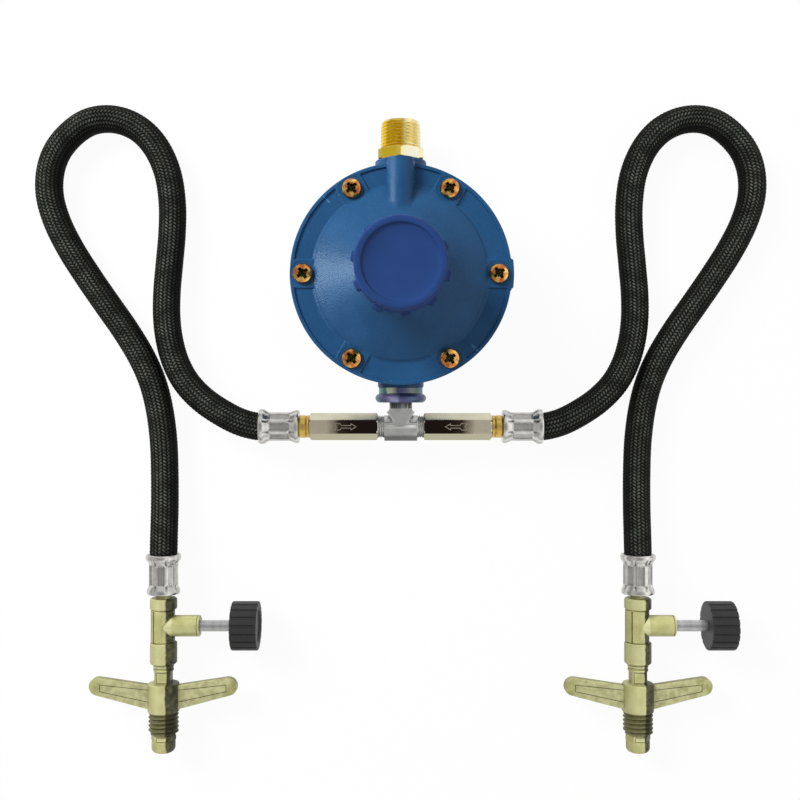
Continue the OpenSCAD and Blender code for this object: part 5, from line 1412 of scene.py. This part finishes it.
BRAID_STEP, BRAID_SIDES = ((0.62, 96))
BRAID = braid_cover()
for side, name in SIDES:
    line, even = smooth_route([(side * x, y, z) for x, y, z in HOSE_ROUTE], BRAID_STEP)
    ahead = np.gradient(line, axis=0)
    ahead /= np.linalg.norm(ahead, axis=1)[:, None]
    beside = np.cross(ahead, [0, 0, 1])
    beside /= np.linalg.norm(beside, axis=1)[:, None]
    above = np.cross(beside, ahead)
    angles = np.linspace(0, 2 * np.pi, BRAID_SIDES, endpoint=False)
    relief = braid(angles[None, :], even[:, None])
    swell = ease(even, SQUEEZED_L, SWELL_END) * (1 - ease(even, even[-1] - SWELL_END, even[-1] - SQUEEZED_L))
    squeeze = 1 - swell
    outer = HOSE_D / 2 - (HOSE_D / 2 - SQUEEZED_R) * squeeze[:, None] - BRAID_DEPTH * (1 - relief)
    rounds = (np.cos(angles)[None, :, None] * beside[:, None, :]
              + np.sin(angles)[None, :, None] * above[:, None, :])
    skin = line[:, None, :] + outer[:, :, None] * rounds
    bore = line[:, None, :] + HOSE_BORE * rounds
    rings = list(skin) + [bore[i] for i in range(len(line) - 1, -1, -8)] + [bore[0]]
    verts, faces = loft(rings)
    hose = bpy.data.meshes.new("hose")
    hose.from_pydata([tuple(c * MM for c in v) for v in verts], [], faces)
    crown = hose.attributes.new("crown", "FLOAT", "POINT")
    crown.data.foreach_set("value", np.concatenate([relief.ravel(), np.zeros(len(verts) - relief.size)]))
    cord = piece(hose, f"{name}_braided_hose", BRAID, "root", [f"{name}_hose"], crease=180)

# Inner pieces.
# Rubber seals, steel springs and pressings, a moulded screw and small brass pieces, in their exact
# shapes. The main spring is cut into lower and upper coils and the diaphragm into a rim and twelve
# sectors; the coils, the check springs and the sectors stay where they are, on no body.
SPRING_SPLIT_Z = 0.046
CUT_WELD = 1e-6
RIM_CUT_R = 42
RIM_CUT_LOW, RIM_CUT_HIGH = 30, 42
FOLD_OUTER_R, FOLD_INNER_R = 0.0385, 0.0275
SECTORS = 12
SECTOR_TURN = 1.7


def rubber():
    seal = Finish("seal_rubber", 0.0, 0.6)
    bloom = seal.noise(260, 4)
    seal.colour(seal.ramp(bloom, [(0.3, srgb(16, 16, 17)), (0.7, srgb(38, 38, 40))]))
    seal.rough(bloom, 0.52, 0.72)
    seal.bumps((seal.noise(2400, 2), 0.00004))
    return seal.material


def cut_mesh(source, *planes):
    """source cut off beyond each (point, normal) plane and closed again."""
    part = bmesh.new()
    part.from_mesh(source)
    bmesh.ops.remove_doubles(part, verts=part.verts, dist=CUT_WELD)
    for point, normal in planes:
        bmesh.ops.bisect_plane(part, geom=part.verts[:] + part.edges[:] + part.faces[:], plane_co=point,
                               plane_no=normal, clear_outer=True)
        bmesh.ops.holes_fill(part, edges=[edge for edge in part.edges if edge.is_boundary])
    return mesh_from(part)


RUBBER = rubber()
spring_low, spring_high = (corner[2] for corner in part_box("main_spring"))
split = (0, 0, SPRING_SPLIT_Z)
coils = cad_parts["main_spring"].data
piece(cut_mesh(coils, (split, (0, 0, 1))), "main_spring_lower_coils", STEEL,
      ("diaphragm_group", "root", (0, 0, spring_low), split), ["main_spring"])
piece(cut_mesh(coils, (split, (0, 0, -1))), "main_spring_upper_coils", STEEL,
      ("root", "spring_seat", split, (0, 0, spring_high)), ["main_spring"])
for side, name in SIDES:
    ends = [corner[0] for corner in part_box(f"{name}_check_spring")]
    fixed, pushed = sorted(ends, key=abs)
    piece(cut_mesh(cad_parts[f"{name}_check_spring"].data), f"{name}_check_spring_wire", STEEL,
          ("root", f"{name}_poppet", (fixed, ARM_Y * MM, 0), (pushed, ARM_Y * MM, 0)),
          [f"{name}_check_spring"])

rim_cutter = [(0, RIM_CUT_LOW), (RIM_CUT_R, RIM_CUT_LOW), (RIM_CUT_R, RIM_CUT_HIGH), (0, RIM_CUT_HIGH)]
sheet = cut_mesh(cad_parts["diaphragm"].data)
piece(carve(sheet.copy(), mesh_of([turned(rim_cutter, 96)])), "diaphragm_rim", RUBBER, "root",
      ["diaphragm"])
membrane = carve(sheet, mesh_of([turned(rim_cutter, 96)]), "INTERSECT")
for sector in range(SECTORS):
    middle = 2 * math.pi * sector / SECTORS + math.radians(SECTOR_TURN)
    low, high = middle - math.pi / SECTORS, middle + math.pi / SECTORS
    outward = Vector((math.cos(middle), math.sin(middle), 0))
    piece(cut_mesh(membrane, ((0, 0, 0), (-math.sin(high), math.cos(high), 0)),
                   ((0, 0, 0), (math.sin(low), -math.cos(low), 0))),
          f"diaphragm_sector_{sector + 1}", RUBBER,
          ("root", "diaphragm_group", outward * FOLD_OUTER_R, outward * FOLD_INNER_R), ["diaphragm"])

CARRIED_OVER = {
    RUBBER: ["cap_gasket", "plunger_pad", "left_check_seal", "right_check_seal", "left_tap_seal",
             "right_tap_seal"],
    STEEL: ["diaphragm_plate", "diaphragm_stem", "relief_spring", "spring_button", "vent_screen",
            "valve_lever", "lever_pin", "left_tap_needle", "right_tap_needle"],
    KNOB: ["adjusting_screw"],
    TAIL_BRASS: ["relief_nut", "valve_plunger", "inlet_seat", "left_check_poppet", "right_check_poppet"],
    OLIVE_BRASS: ["left_tap_gland", "right_tap_gland"],
}
for finish, nodes in CARRIED_OVER.items():
    for node in nodes:
        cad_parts[node].data.materials.clear()
        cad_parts[node].data.materials.append(finish)
